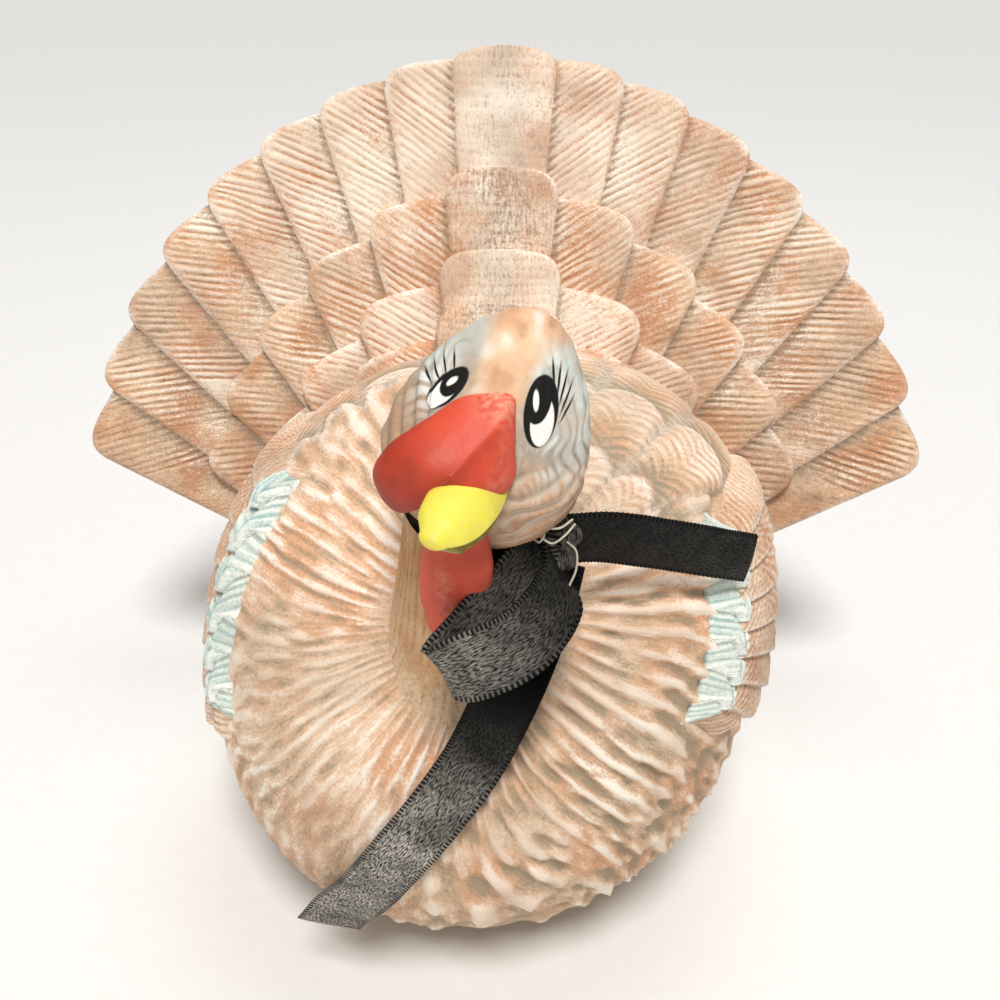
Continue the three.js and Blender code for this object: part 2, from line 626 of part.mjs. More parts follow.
place('body_shell', bodyShell, BISQUE);
place('tail_outer_row', without(outerRow, bodyCut), BISQUE);
place('tail_middle_row', without(middleRow, outerCut, bodyCut), BISQUE);
place('tail_inner_row', without(innerRow, outerCut, middleCut, bodyCut), PALE_BISQUE);
place('mantle_row', without(mantleRow, outerCut, middleCut, innerCut, bodyCut), PALE_BISQUE);
place('left_wing_coverts', coverts(-1), COVERT_PAINT);
place('left_wing_primaries', primaries(-1), BISQUE);
place('right_wing_coverts', coverts(1), COVERT_PAINT);
place('right_wing_primaries', primaries(1), BISQUE);
place('neck', without(neckSkin(0), bodyCut, headCut), BISQUE);
place('head', headSkin(0), PALE_BISQUE);
place('snood', without(snoodSkin(0), headCut), RED_PAINT);
place('upper_beak', without(upperBeakSkin(0), headCut, snoodCut), YELLOW_PAINT);
place('lower_beak', without(lowerBeakSkin(0), headCut, snoodCut, upperBeakCut), YELLOW_PAINT);
place('wattle', without(wattleSkin(0), headCut, neckCut, snoodCut, upperBeakCut, lowerBeakCut), RED_PAINT);
place('ribbon_collar', without(collarRing(), headCut, bodyCut), SATIN);
place('ribbon_knot', without(knotSkin(0), headCut, collarCut), SATIN);
place('ribbon_loop', without(loopStrip(0), knotCut, headCut, collarCut, wattleCut), SATIN);
place('ribbon_short_tail', without(shortTail(), knotCut, headCut, collarCut), SATIN);
place('ribbon_long_tail', without(longTail(), knotCut, headCut, collarCut, wattleCut, loopCut), SATIN);

// The origin goes to the bottom centre of the whole figure.
const box = new THREE.Box3().setFromObject(figure);
const middle = box.getCenter(new THREE.Vector3());
figure.position.set(-middle.x, -middle.y, -box.min.z);

export default figure;
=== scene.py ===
# %% [markdown]
# # A painted ceramic turkey
# The real figure is earthenware. Slip is poured into a plaster mould, drained, fired once and painted
# by hand in thin layers, and a black satin ribbon is tied round the neck. The solids of the frame say
# where every piece sits. Each of them is replaced here by a finer skin in the same place, worked out
# with numpy, because feathers need far more points than a solid that only has to collide.

import bpy
import numpy as np
from mathutils import Matrix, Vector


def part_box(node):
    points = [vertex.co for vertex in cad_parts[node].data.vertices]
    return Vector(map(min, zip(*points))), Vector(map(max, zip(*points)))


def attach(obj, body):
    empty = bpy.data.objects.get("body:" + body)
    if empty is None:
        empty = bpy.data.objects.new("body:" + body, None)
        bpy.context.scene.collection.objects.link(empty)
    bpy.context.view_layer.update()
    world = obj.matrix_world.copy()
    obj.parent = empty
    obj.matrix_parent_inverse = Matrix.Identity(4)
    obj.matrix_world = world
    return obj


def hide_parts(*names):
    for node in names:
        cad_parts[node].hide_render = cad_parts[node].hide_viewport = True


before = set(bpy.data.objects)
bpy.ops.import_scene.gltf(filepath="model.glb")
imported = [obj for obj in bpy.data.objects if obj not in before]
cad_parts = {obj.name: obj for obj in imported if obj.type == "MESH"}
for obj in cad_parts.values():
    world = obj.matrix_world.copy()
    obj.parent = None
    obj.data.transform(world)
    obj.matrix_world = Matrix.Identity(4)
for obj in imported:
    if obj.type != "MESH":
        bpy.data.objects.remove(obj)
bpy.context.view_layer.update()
MM = 0.001
HEAD = np.array([4.4, -42.9, 116.7])
# The solids are drawn with the body over the origin, and then moved to centre the whole figure. The
# head is even from front to back, so the middle of its box tells by how much.
head_low, head_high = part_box("head")
SHIFT = np.array([0, (head_low[1] + head_high[1]) / 2 / MM - HEAD[1], 0])
print("solids moved by, in mm:", SHIFT.round(2))

# %% [markdown]
# The photograph looks down on the figure by 28 degrees, a little from the right. A camera could be
# aimed with a constraint, but three directions written into its matrix say the same with no hidden
# steps: where its right, its up and its back point. Lamps are aimed in the same way.

# %% Camera
PITCH, TURN = np.radians(28), np.radians(3)
CAMERA_AT = np.array([12.98, -197.45, 185.53])
SENSOR = 36
LENS = 1.15 * SENSOR


def put(name, data):
    """A new object in the scene that shows some data."""
    made = bpy.data.objects.new(name, data)
    bpy.context.collection.objects.link(made)
    return made


def stand(thing, place, right, back):
    """Puts a thing at a place in metres; right and back are unit directions, and up is back x right."""
    pose = np.eye(4)
    pose[:3, :3] = np.stack([right, np.cross(back, right), back], axis=1)
    pose[:3, 3] = place
    thing.matrix_world = Matrix(pose.tolist())


camera = put("camera", bpy.data.cameras.new("camera"))
camera.data.sensor_width = SENSOR
camera.data.lens = LENS
camera.data.clip_start = 0.01
look = np.array([-np.sin(TURN) * np.cos(PITCH), np.cos(TURN) * np.cos(PITCH), -np.sin(PITCH)])
stand(camera, CAMERA_AT * MM, np.array([np.cos(TURN), np.sin(TURN), 0]), -look)
bpy.context.scene.camera = camera
print("camera lens in mm:", round(camera.data.lens, 1))

# %% [markdown]
# Every material below is a small graph of nodes. One function adds a node with its settings and
# links, and another turns the colours, which are written as on a paint chart, to linear light.

# %% Nodes and colours
def linear(chart):
    """sRGB hex to linear RGBA: each channel c becomes ((c + 0.055) / 1.055) ** 2.4, or c / 12.92 if dark."""
    channels = np.array([int(chart[i:i + 2], 16) for i in (1, 3, 5)]) / 255
    bright = ((channels + 0.055) / 1.055) ** 2.4
    return [*np.where(channels > 0.04045, bright, channels / 12.92).tolist(), 1.0]


def add(tree, kind, inputs=None, **settings):
    """Adds one node: settings are its properties, inputs are values or the outputs of other nodes."""
    made = tree.nodes.new(kind)
    for name, value in settings.items():
        setattr(made, name, value)
    for socket, value in (inputs or {}).items():
        if isinstance(value, bpy.types.NodeSocket):
            tree.links.new(value, made.inputs[socket])
        else:
            made.inputs[socket].default_value = value
    return made


def new_finish(name, **sockets):
    """A material with one principled shader, whose even values are set on its own sockets."""
    material = bpy.data.materials.new(name)
    material.use_nodes = True
    tree = material.node_tree
    tree.nodes.clear()
    shader = add(tree, "ShaderNodeBsdfPrincipled", {k.replace("_", " "): v for k, v in sockets.items()})
    add(tree, "ShaderNodeOutputMaterial", {"Surface": shader.outputs[0]})
    return material, tree, shader


# %% [markdown]
# Paint goes on in coats, and each coat covers by a share that follows a grain or a value on the
# points. These short functions say so in one line each, so that a finish reads like a recipe.

# %% Coats and grain
def ramp(tree, value, low, high, first=0.0, last=1.0):
    """A value mapped straight, low to first and high to last, and held beyond both."""
    return add(tree, "ShaderNodeMapRange", {0: value, 1: low, 2: high, 3: first, 4: last}).outputs[0]


def calc(tree, operation, *values, **settings):
    """One step of arithmetic on values or outputs."""
    return add(tree, "ShaderNodeMath", dict(enumerate(values)), operation=operation, **settings).outputs[0]


def grain(tree, where, size, detail, **sockets):
    """Noise from 0 to 1 whose lumps have a size, in the unit of the coordinates where it is read."""
    inputs = {"Vector": where, "Scale": 1 / size, "Detail": detail, **sockets}
    return add(tree, "ShaderNodeTexNoise", inputs).outputs["Fac"]


def in_metres(tree):
    """Coordinates in metres from the origin, where all the pieces have theirs."""
    return add(tree, "ShaderNodeTexCoord").outputs["Object"]


def stored(tree, key):
    """A value that a skin keeps on its points."""
    return add(tree, "ShaderNodeAttribute", attribute_name=key).outputs["Fac"]


def coated(tree, share, under, over):
    """A share of one colour over another; each is a chart colour or the output of other coats."""
    under, over = [linear(c) if isinstance(c, str) else c for c in (under, over)]
    return add(tree, "ShaderNodeMix", {0: share, 6: under, 7: over}, data_type="RGBA").outputs[2]


def finished(tree, shader, coat, height=None, strength=0.0, deep=0.0):
    """Gives the shader its colour, and a bump from a height that is so many metres deep."""
    tree.links.new(coat, shader.inputs["Base Color"])
    if height is not None:
        bump = add(tree, "ShaderNodeBump", {"Strength": strength, "Distance": deep, "Height": height})
        tree.links.new(bump.outputs[0], shader.inputs["Normal"])


# %% [markdown]
# The figure stands on pale paper. The sheet is far larger than the figure, so no edge of it shows, and
# a faint grain keeps it from looking like plastic.

# %% Floor
paper, tree, shader = new_finish("pale_backdrop_paper", Roughness=0.95)
fibres = grain(tree, in_metres(tree), 0.004, 3.0)
finished(tree, shader, coated(tree, fibres, "#E9E7E3", "#EFEDEA"))
REACH = 9
floor_mesh = bpy.data.meshes.new("floor")
corners = [(-REACH, -REACH, 0), (REACH, -REACH, 0), (REACH, REACH, 0), (-REACH, REACH, 0)]
floor_mesh.from_pydata(corners, [], [(0, 1, 2, 3)])
floor_mesh.materials.append(paper)
floor = put("floor", floor_mesh)
print("floor in m:", 2 * REACH)

# %% [markdown]
# A sun with a wide disc lights the floor evenly to the horizon, which an area lamp would not. Two small
# lamps lift the front and the top, and the sky fills the shadows.

# %% Lamps and sky
LAMPS_AIM = np.array([0, 0, 0.07])


def unit(v):
    """Vectors divided by their own length."""
    return v / np.linalg.norm(v, axis=-1, keepdims=True)


for name, kind, energy, place, size in (
    ("key", "SUN", 2.6, (0.12, -0.85, 1.6), 0.3),
    ("front_fill", "AREA", 0.8, (-0.45, -0.8, 0.45), 0.5),
    ("top_strip", "AREA", 1.6, (0.1, 0.1, 0.8), 0.4),
):
    lamp = bpy.data.lights.new(name, kind)
    lamp.energy = energy
    setattr(lamp, "angle" if kind == "SUN" else "size", size)
    back = unit(np.array(place) - LAMPS_AIM)
    stand(put(name, lamp), place, unit(np.cross([0, 1, 0.01], back)), back)

SKY_LIGHT, WALL_SEEN = 0.24, 0.85
world = bpy.data.worlds.new("studio")
world.use_nodes = True
tree = world.node_tree
sky = tree.nodes["Background"]
sky.inputs["Color"].default_value = linear("#F4F3F1")
# Rays from the camera, straight or through something clear, see a pale wall; only the others are light.
ray = add(tree, "ShaderNodeLightPath").outputs
seen = calc(tree, "ADD", ray["Is Camera Ray"], ray["Is Transmission Ray"])
tree.links.new(ramp(tree, seen, 0.0, 1.0, SKY_LIGHT, WALL_SEEN), sky.inputs["Strength"])
bpy.context.scene.world = world
bpy.context.scene.view_settings.view_transform = "Standard"

# %% [markdown]
# All the skins below are grids of points. These helpers smooth a step, make repeatable noise, and run
# a smooth path through a few stops. They work on whole grids at once, which is far quicker than a
# loop over the points.

# %% Grid helpers
def smooth(low, high, x):
    """Smooth step: 0 up to low, 1 from high on, and 3t^2 - 2t^3 between them."""
    t = np.clip((x - low) / (high - low), 0, 1)
    return t * t * (3 - 2 * t)


def noise(x, y, seed, wrap=64):
    """Value noise from -1 to 1: random heights on whole numbers, blended between them; x wraps."""
    table = np.random.default_rng(seed).uniform(-1, 1, (wrap, 64))
    i, j = np.floor(x).astype(int), np.floor(y).astype(int)
    u, v = smooth(0, 1, x - i), smooth(0, 1, y - j)
    low = table[i % wrap, j % 64] * (1 - u) + table[(i + 1) % wrap, j % 64] * u
    high = table[i % wrap, (j + 1) % 64] * (1 - u) + table[(i + 1) % wrap, (j + 1) % 64] * u
    return low * (1 - v) + high * v


def bell(x, wide):
    """A bell round 0: exp(-(x / wide)^2)."""
    return np.exp(-(x / wide) ** 2)


def ridges(x, pitch, power=0.8):
    """Rounded ridges from 0 to 1, one to a pitch, with narrow grooves between them: |sin|^power."""
    return np.abs(np.sin(np.pi * x / pitch)) ** power


def eased(count):
    """A row of shares from 0 to 1 that crowd towards both ends."""
    return ((1 - np.cos(np.linspace(0, np.pi, count))) / 2)[None, :]


def most(*layers):
    """The highest of several layers at every point."""
    return np.maximum.reduce(np.broadcast_arrays(*layers))


def smooth_path(stops, count):
    """Catmull-Rom spline: cubics between stops, each slope that of the line between the neighbours.

    Knots are spaced by the root of the distance."""
    stops = np.asarray(stops, float)
    gaps = np.sqrt(np.linalg.norm(np.diff(stops[:, :3], axis=0), axis=1))
    knots = np.concatenate([[0], np.cumsum(gaps)])
    slope = np.gradient(stops, knots, axis=0)
    t = np.linspace(0, knots[-1], count)
    i = np.clip(np.searchsorted(knots, t, side="right") - 1, 0, len(gaps) - 1)
    h = gaps[i][:, None]
    u = ((t - knots[i]) / gaps[i])[:, None]
    start = stops[i] * (1 + 2 * u) * (1 - u) ** 2 + slope[i] * h * u * (1 - u) ** 2
    return start + stops[i + 1] * u * u * (3 - 2 * u) + slope[i + 1] * h * u * u * (u - 1)


def face_normals(grid):
    """Unit normals of a grid whose columns run round, from its neighbours' differences, outward or inward."""
    down = np.gradient(grid, axis=0)
    beside = np.roll(grid, -1, axis=1) - np.roll(grid, 1, axis=1)
    return unit(np.cross(beside, down))


# %% [markdown]
# A grid whose columns run round a piece becomes a closed mesh, which is what a casting is: it has no
# open edge. Blender could fill the ends, but zipping them here keeps every face a quad. Paint values
# go onto the points, and the piece takes the place of a node of the frame.

# %% From a grid to a piece
def closed_part(grid, **values):
    """Quads between neighbours of a grid whose columns run round; each end is zipped, column j to -1 - j."""
    rows, cols = grid.shape[:2]
    points = grid.reshape(-1, 3)
    here = np.arange(rows * cols).reshape(rows, cols)
    beside = np.roll(here, -1, axis=1)
    sides = np.stack([here[:-1], beside[:-1], beside[1:], here[1:]], axis=-1).reshape(-1, 4)
    j = np.arange(cols // 2 - 1)
    first = np.stack([here[0, j + 1], here[0, j], here[0, -1 - j], here[0, -2 - j]], axis=-1)
    last = np.stack([here[-1, j], here[-1, j + 1], here[-1, -2 - j], here[-1, -1 - j]], axis=-1)
    quads = np.concatenate([sides, first, last])
    halves = np.concatenate([quads[:, [0, 1, 2]], quads[:, [0, 2, 3]]])
    a, b, c = points[halves[:, 0]], points[halves[:, 1]], points[halves[:, 2]]
    if np.einsum("ij,ij->", np.cross(a, b), c) < 0:
        quads = quads[:, ::-1]
    paint = {key: value.reshape(-1) for key, value in values.items()}
    return {"points": points, "quads": quads, "paint": paint}


def slab(outer, inner, **values):
    """A closed part over an outer face and back under an inner one; a pair of values is one for each face."""
    fold = lambda front, back: np.concatenate([front, back[:, ::-1]], axis=1)
    flat = np.zeros(outer.shape[:2])
    pairs = {key: value if isinstance(value, tuple) else (value, value) for key, value in values.items()}
    return closed_part(fold(outer, inner), **{key: fold(flat + a, flat + b) for key, (a, b) in pairs.items()})


def make_piece(name, parts, material, node):
    """Joins closed parts into one object at the origin that replaces a node of the frame."""
    starts = np.cumsum([0] + [len(p["points"]) for p in parts])
    points = (np.concatenate([p["points"] for p in parts]) + SHIFT) * MM
    quads = np.concatenate([p["quads"] + s for p, s in zip(parts, starts)])
    mesh = bpy.data.meshes.new(name)
    mesh.vertices.add(len(points))
    mesh.vertices.foreach_set("co", points.reshape(-1).astype(np.float32))
    mesh.loops.add(quads.size)
    mesh.loops.foreach_set("vertex_index", quads.reshape(-1).astype(np.int32))
    mesh.polygons.add(len(quads))
    mesh.polygons.foreach_set("loop_start", np.arange(0, quads.size, 4, dtype=np.int32))
    mesh.polygons.foreach_set("use_smooth", np.ones(len(quads), bool))
    mesh.update(calc_edges=True)
    for key in parts[0]["paint"]:
        layer = mesh.attributes.new(key, "FLOAT", "POINT")
        layer.data.foreach_set("value", np.concatenate([p["paint"][key] for p in parts]).astype(np.float32))
    mesh.materials.append(material)
    piece = put(name, mesh)
    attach(piece, "root")
    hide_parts(node)
    low, high = points.min(axis=0) / MM, points.max(axis=0) / MM
    print(f"{name}: {2 * len(quads)} triangles, {np.round(low, 1)} to {np.round(high, 1)} mm")
    return piece


# %% [markdown]
# Most of the figure has one finish. Underglaze in terracotta and peach lies on the fired clay, a thin
# grey-green wash stays in the grooves, and a nearly dry brush leaves cream on every ridge and edge.
# The grooves are painted darker still as painted shade, and the grey film also carries painted shade
# where one part lies over another and low on the body.
# The surface is dull and a little gritty. The relief of each skin is stored on its points, so the
# nodes know groove from ridge; two more values run across and along the carved strokes, in mm.

# %% Dry-brushed bisque
FLECK_WIDTH, FLECK_LENGTH = 0.6, 3


def dry_brushed(name, base, warm, film_and_shade, groove, cream, rim, film_share=0.55, groove_share=0.8,
                cream_share=0.9):
    """Coats over each other: clay colours, grey film and painted shade, grooves partly in painted shade,
    cream ridges, pale rims.
    """
    material, tree, shader = new_finish(name, Roughness=0.82, Specular_IOR_Level=0.25)
    place = in_metres(tree)
    # Brush hairs leave narrow flecks that follow the carved strokes.
    across = calc(tree, "MULTIPLY", stored(tree, "across"), 1 / FLECK_WIDTH)
    along = calc(tree, "MULTIPLY", stored(tree, "along"), 1 / FLECK_LENGTH)
    strokes = add(tree, "ShaderNodeCombineXYZ", {"X": across, "Y": along}).outputs[0]
    fleck = grain(tree, strokes, 1, 5.0, Roughness=0.65)
    # Paint pools in clouds 11 and 19 mm across, and the fired clay has a grit of about 0.6 mm.
    cloud = grain(tree, place, 0.011, 5.0)
    haze = grain(tree, place, 0.019, 5.0)
    speck = ramp(tree, grain(tree, place, 0.0006, 3.0), 0.3, 0.7, -0.35, 0.35)
    uneven = calc(tree, "ADD", ramp(tree, fleck, 0.3, 0.7, -0.5, 0.5), speck)
    tone = calc(tree, "ADD", stored(tree, "relief"), uneven)
    coat = coated(tree, ramp(tree, cloud, 0.42, 0.6), base, warm)
    # The film coat also shows the painted shade that each skin stores on its points.
    veil = calc(tree, "MAXIMUM", ramp(tree, haze, 0.43, 0.62, 0.0, film_share), stored(tree, "wash"))
    share = calc(tree, "MULTIPLY", veil, ramp(tree, uneven, 0.6, -0.5, 0.3, 1.0))
    coat = coated(tree, share, coat, film_and_shade)
    # Grooves take the groove colour: partly the real wash, partly painted shade.
    coat = coated(tree, ramp(tree, tone, -0.15, -1.1, 0.0, groove_share), coat, groove)
    dabs = ramp(tree, haze, 0.6, 0.4, 0.35, 1.0)
    share = calc(tree, "MULTIPLY", ramp(tree, tone, 0.0, 0.9, 0.0, cream_share), dabs)
    coat = coated(tree, share, coat, cream)
    share = calc(tree, "MULTIPLY", stored(tree, "rim"), ramp(tree, uneven, -0.5, 0.4, 0.2, 1.0))
    finished(tree, shader, coated(tree, share, coat, rim), uneven, 0.35, 0.0003)
    return material


feather_paint = dry_brushed(
    "dry_brushed_terracotta_bisque", "#E3BB98", "#D2956A", "#958B7B", "#82725F", "#FAEEDC", "#FDF5E9",
    groove_share=0.7)
breast_paint = dry_brushed(
    "dry_brushed_peach_bisque", "#E8C3A2", "#DEA982", "#AEA590", "#9A8D76", "#FDF3E3", "#FCF4E8")
covert_paint = dry_brushed(
    "dry_brushed_pale_blue_bisque", "#C2CDC4", "#A3C0BC", "#A9A493", "#868F85", "#EFF3E7", "#FAFAF1")
print("finishes:", feather_paint.name, breast_paint.name, covert_paint.name)

# %% [markdown]
# The body is a ball with a flat foot. Its breast puffs out round the neck, and every carved tuft
# starts at the neck, so the poles of the grid are put there and not on top: the tufts then follow
# the grid lines, and a modest number of points draws them sharply.

# %% Shape of the body
BODY_MIDDLE = np.array([0, 0, 50.5])
BODY_HALF = np.array([53.8, 59.0, 56.0])
BODY_BACK, BODY_LEAN = 50.5, 0.085
ROUND, SQUARER_BEHIND = 2, 0.8
DIMPLE_ANGLE, DIMPLE_DEPTH, DIMPLE_REACH = 0.7, 9, 0.47
DIMPLE = np.array([0, -np.cos(DIMPLE_ANGLE), np.sin(DIMPLE_ANGLE)])
DIMPLE_UP = np.array([0, np.sin(DIMPLE_ANGLE), np.cos(DIMPLE_ANGLE)])


def dent(heading):
    """How deep the dimple is in a direction: a bell over the angle from its middle."""
    angle = np.arccos(np.clip(unit(heading) @ DIMPLE, -1, 1))
    return DIMPLE_DEPTH * bell(angle, DIMPLE_REACH)


def body_point(heading, lift):
    """Skin in a direction, stretched until |flat|^n + |z|^n = 1 and then scaled to the half sizes.

    n grows from 2 in front to 2.8 behind, the dimple is pressed in, and x leans with the height."""
    flat = np.hypot(heading[..., 0], heading[..., 1])
    behind = (1 + heading[..., 1] / np.maximum(flat, 1e-9)) / 2
    n = ROUND + SQUARER_BEHIND * behind
    scale = (flat ** n + np.abs(heading[..., 2]) ** n) ** (-1 / n)
    out = (lift - dent(heading))[..., None]
    half = np.where((heading[..., 1] < 0)[..., None], BODY_HALF, [BODY_HALF[0], BODY_BACK, BODY_HALF[2]])
    skin = heading * scale[..., None] * (half + out)
    skin[..., 0] += BODY_LEAN * skin[..., 2]
    return skin + BODY_MIDDLE


# %% [markdown]
# The tufts lie in 56 strands that leave the dimple like spokes. They crowd together on the left, are
# wide on top, and bend in a swirl low on the right and on the left. A formula says which strand passes
# through a place, and it is turned round in small steps, so that the columns of the grid can run
# along the strands.

# %% Strands of the breast
STRANDS = 56
COLUMNS_EACH = 8


def hump(turn, middle, wide):
    """A bell over the turn that repeats after a full circle: exp(-(2 - 2 cos(turn - middle)) / wide^2)."""
    return np.exp((2 * np.cos(turn - middle) - 2) / wide ** 2)


def strand_at(turn, away):
    """Strand number at a turn round the dimple: the turn less a swirl, plus sines that crowd or spread."""
    swirl = 0.75 * hump(turn, -1.1, 0.45) - 0.55 * hump(turn, 3.05, 0.4)
    swirled = turn - 0.45 * np.tanh((away - 0.6) / 0.45) * swirl
    spread = swirled + 0.235 * (np.cos(swirled) - np.sin(swirled)) + 0.0625 * np.sin(2 * swirled)
    return STRANDS * spread / (2 * np.pi)


def turn_of(strand, away):
    """The turn at which a strand lies: 60 steps, each of 0.6 times the strand still missing."""
    turn = 2 * np.pi * strand / STRANDS + 0 * away
    for _ in range(60):
        turn = turn - 0.6 * (strand_at(turn, away) - strand) * 2 * np.pi / STRANDS
    return turn


strand = np.arange(STRANDS * COLUMNS_EACH)[None, :] / COLUMNS_EACH - STRANDS / 2
# The angle away from the dimple: few rows under the neck, many on the breast, some on the back.
away = np.concatenate([np.linspace(0.02, 0.3, 8, endpoint=False), np.linspace(0.3, 1.75, 150, endpoint=False),
                       np.linspace(1.75, 3.12, 52)])[:, None]
turn = turn_of(strand, away)
spoke = np.cos(turn)[..., None] * [1, 0, 0] + np.sin(turn)[..., None] * DIMPLE_UP
heading = np.cos(away)[..., None] * DIMPLE + np.sin(away)[..., None] * spoke
skin = body_point(heading, 0 * turn)
outward = face_normals(skin)
outward *= np.sign(np.sum(outward * heading, axis=-1, keepdims=True))
print("strands:", STRANDS, "grid:", skin.shape[:2])

# %% [markdown]
# A tuft is a leaf of clay: it rises from its root, ends in a round tip and lies over the next one. On
# the breast the tufts are long and run together into wandering ridges, steep on their lower side and
# deeper on the right. On the shoulders they are leaves, two strands broad, with fine barbs. They are
# moved points and not only a bump, so they also shape the outline.

# %% Tufts of the breast
HEM = 1.02
dice = np.random.default_rng(5)
middles = (np.arange(STRANDS) + 0.5 + STRANDS / 2) % STRANDS - STRANDS / 2
lie = turn_of(middles, 0.9 + np.zeros(STRANDS))
leafy = np.sin(lie) > 0.45
hem_at = np.where(lie > 1.7, HEM, 0)
tuft_length = (0.5 - 0.1 * leafy) * dice.uniform(0.85, 1.15, STRANDS)
tuft_start = dice.uniform(0, 1, STRANDS)
right_side = smooth(-0.5, 0.6, np.cos(turn + 0.4))
bottom = hump(turn, -1.6, 0.7)


def lobe(strand):
    """How far the sides of a lobe of the hem lie before its middle, for lobes two strands broad."""
    return 0.1 * (strand % 2 - 1) ** 2


def tufts(strand, seed):
    """One layer of tufts: a crest over each strand that peaks off its middle, times the rise along a tuft.

    Gives the height from 0 to 1, the place along the tuft, its strand, the bow, which is 0 on the
    middle, and what is leaf."""
    number = np.floor(strand).astype(int) % STRANDS
    even = number - number % 2
    leaf = leafy[even] & (away > hem_at[even] - lobe(strand))
    number = np.where(leaf, even, number)
    u = np.where(leaf, strand % 2 / 2, strand % 1)
    bow = (2 * u - 1) ** 2
    g = ((away + 0.07 * bow) / tuft_length[number] + tuft_start[number]) % 1
    tuft = smooth(0, 0.6, g) * (1 - smooth(0.88, 1, g))
    cut = np.maximum(0.15 + 0.45 * smooth(0.75, 1.0, away) * right_side, 0.9 * leaf)
    peak = 0.5 - 0.2 * np.cos(turn) + 0.1 * noise(number * 1.0 + 0 * away, away * 6, seed)
    ridge = np.where(u < peak, u / peak, (1 - u) / (1 - peak)) ** (1.15 + 0.5 * right_side)
    crest = np.where(leaf, 1 - bow ** 3, ridge)
    return crest * (1 - cut + cut * tuft), g, number, bow, leaf


print("strands with leaves:", int(leafy.sum()))

# %% [markdown]
# Two layers of tufts make the breast. Ridges wander by up to half of their width, less on the right,
# and where one of the first layer fades out, one of the second starts half way beside it, as strokes
# of a modelling tool do. On the left they end in a lobed step, like the hem of a cape.

# %% Ridges and hem
GROOVE, DEEPER_RIGHT, DEEPER_BELOW, HEM_STEP = 0.85, 1.0, 0.6, 1.3
places = strand + STRANDS / 2
wander = 0.42 * noise(places * 0.5, away * 4.5, 11, 28) + 0.14 * noise(places, away * 12, 12, 56)
combed = strand + wander * smooth(0.3, 0.6, away) * (1 - 0.6 * right_side)
main, g, number, bow, leaf = tufts(combed, 71)
between = tufts(combed + 0.5, 72)[0]
kept = smooth(-0.45, -0.05, noise(places * 0.5, away * 4, 13, 28) + 2 * leaf)
strong = 0.78 + 0.4 * noise(places * 0.5, away * 6, 15, 28)
hairs = noise(places * 3, away * 14, 14, 168)
relief = np.maximum(main * (0.2 + 0.8 * kept), between * (1 - kept)) * np.where(leaf, 0.8, strong)
relief = relief + (0.1 + 0.12 * right_side * ~leaf) * hairs
breast_part = smooth(0.28, 0.42, away) * (1 - 0.75 * smooth(1.2, 1.75, away))
quiet = 1 - 0.6 * hump(turn, -2.1, 0.45)
depth = (GROOVE + DEEPER_RIGHT * right_side + DEEPER_BELOW * bottom) * quiet * breast_part
behind_hem = away - HEM + lobe(combed)
cape = hump(turn, 2.35, 0.5)
hem = smooth(0.02, -0.02, behind_hem) * cape
body = skin + outward * (depth * (relief - 0.6) + HEM_STEP * hem)[..., None]
print("deepest groove in mm:", round(float(depth.max()), 2))

# %% [markdown]
# The foot is cut flat, and in its middle is the hole that the slip was drained through. Near the foot
# the film is darker, partly the real wash and partly painted shade, and painted shade also lies in two
# broad shadows of the breast, at the roots of the leaves and behind the hem. All of this could be
# painted by hand in Blender; formulas of the same grid keep it repeatable.

# %% Foot and body piece
HOLE_EDGE, HOLE_WALL, HOLE_DEPTH = 10.6, 9.6, 26


def shadow(middle, wide, far):
    """A soft patch at a turn round the dimple and an angle away from it."""
    return hump(turn, middle, wide) * bell(away - far, 0.3)


hole = HOLE_DEPTH * smooth(HOLE_EDGE, HOLE_WALL, np.hypot(body[..., 0], body[..., 1]))
height = body[..., 2].copy()
foot = np.maximum(height, 0) + hole * (height < 0)
body[..., 2] = np.where(height < 1, foot, height)
# Painted shade, partly also the real wash: darker near the foot, and two broad shadows of the breast.
shaded = most(1.1 * smooth(40, 6, body[..., 2]), 0.75 * shadow(-0.75, 0.5, 0.6),
              0.5 * shadow(-2.4, 0.35, 0.95))
# Painted shade also at the roots of the leaves and just behind the step of the hem.
wash = most(shaded * (1 - 0.7 * relief), 0.85 * leaf * smooth(0.3, 0.02, g),
            0.9 * cape * smooth(0, 0.02, behind_hem) * smooth(0.12, 0.03, behind_hem))
leaf_rim = np.maximum(smooth(0.78, 0.9, g) * (1 - smooth(0.95, 1, g)), 0.6 * smooth(0.5, 0.85, bow))
rim = np.maximum(0.55 * leaf * leaf_rim, 0.8 * cape * bell(behind_hem + 0.035, 0.025))
# Lengths on the skin: 56 mm for each unit of the angle, 5.2 mm for a strand, and a barb every 2.2 mm.
ARC, STRAND_WIDTH, BARB = 56, 5.2, 2.2
barb = g * tuft_length[number] * ARC - 7 * np.sqrt(bow)
leaf_tone = 1.5 * main - 1.75 + 1.2 * ridges(barb, BARB, 1)
# The small lift of the tone on the right side is painted light from the right.
ridge_tone = (2.5 * relief - 0.65) * (quiet + 0.3 * right_side) + 0.05 * right_side + 0.5 * hairs
make_piece(
    "breast_and_body",
    [closed_part(body, relief=np.where(leaf, leaf_tone, ridge_tone) * np.maximum(breast_part, 0.3),
                 across=np.where(leaf, barb, combed * STRAND_WIDTH),
                 along=np.where(leaf, 5 * np.sqrt(bow) + 31 * number, ARC * away + 0 * strand),
                 wash=np.clip(wash, 0, 1), rim=rim)],
    breast_paint, "body_shell")

# %% [markdown]
# The tail is a fan of four rows. Each feather is a blunt blade whose barbs slant outwards to its
# rim. If every line of the grid is one barb, cut off by the outline of the blade, the grooves stay
# clean with few points. The outer edge of a feather lifts over the next one outwards.

# %% Outline of a feather
FAN_ROOT = np.array([0, 34.7, 23.7])
FAN_LEAN, TILT, ROOT_WIDTH, BLADE_START, BARB_SLOPE = 0.26, 0.09, 5.5, 42.0, 0.88
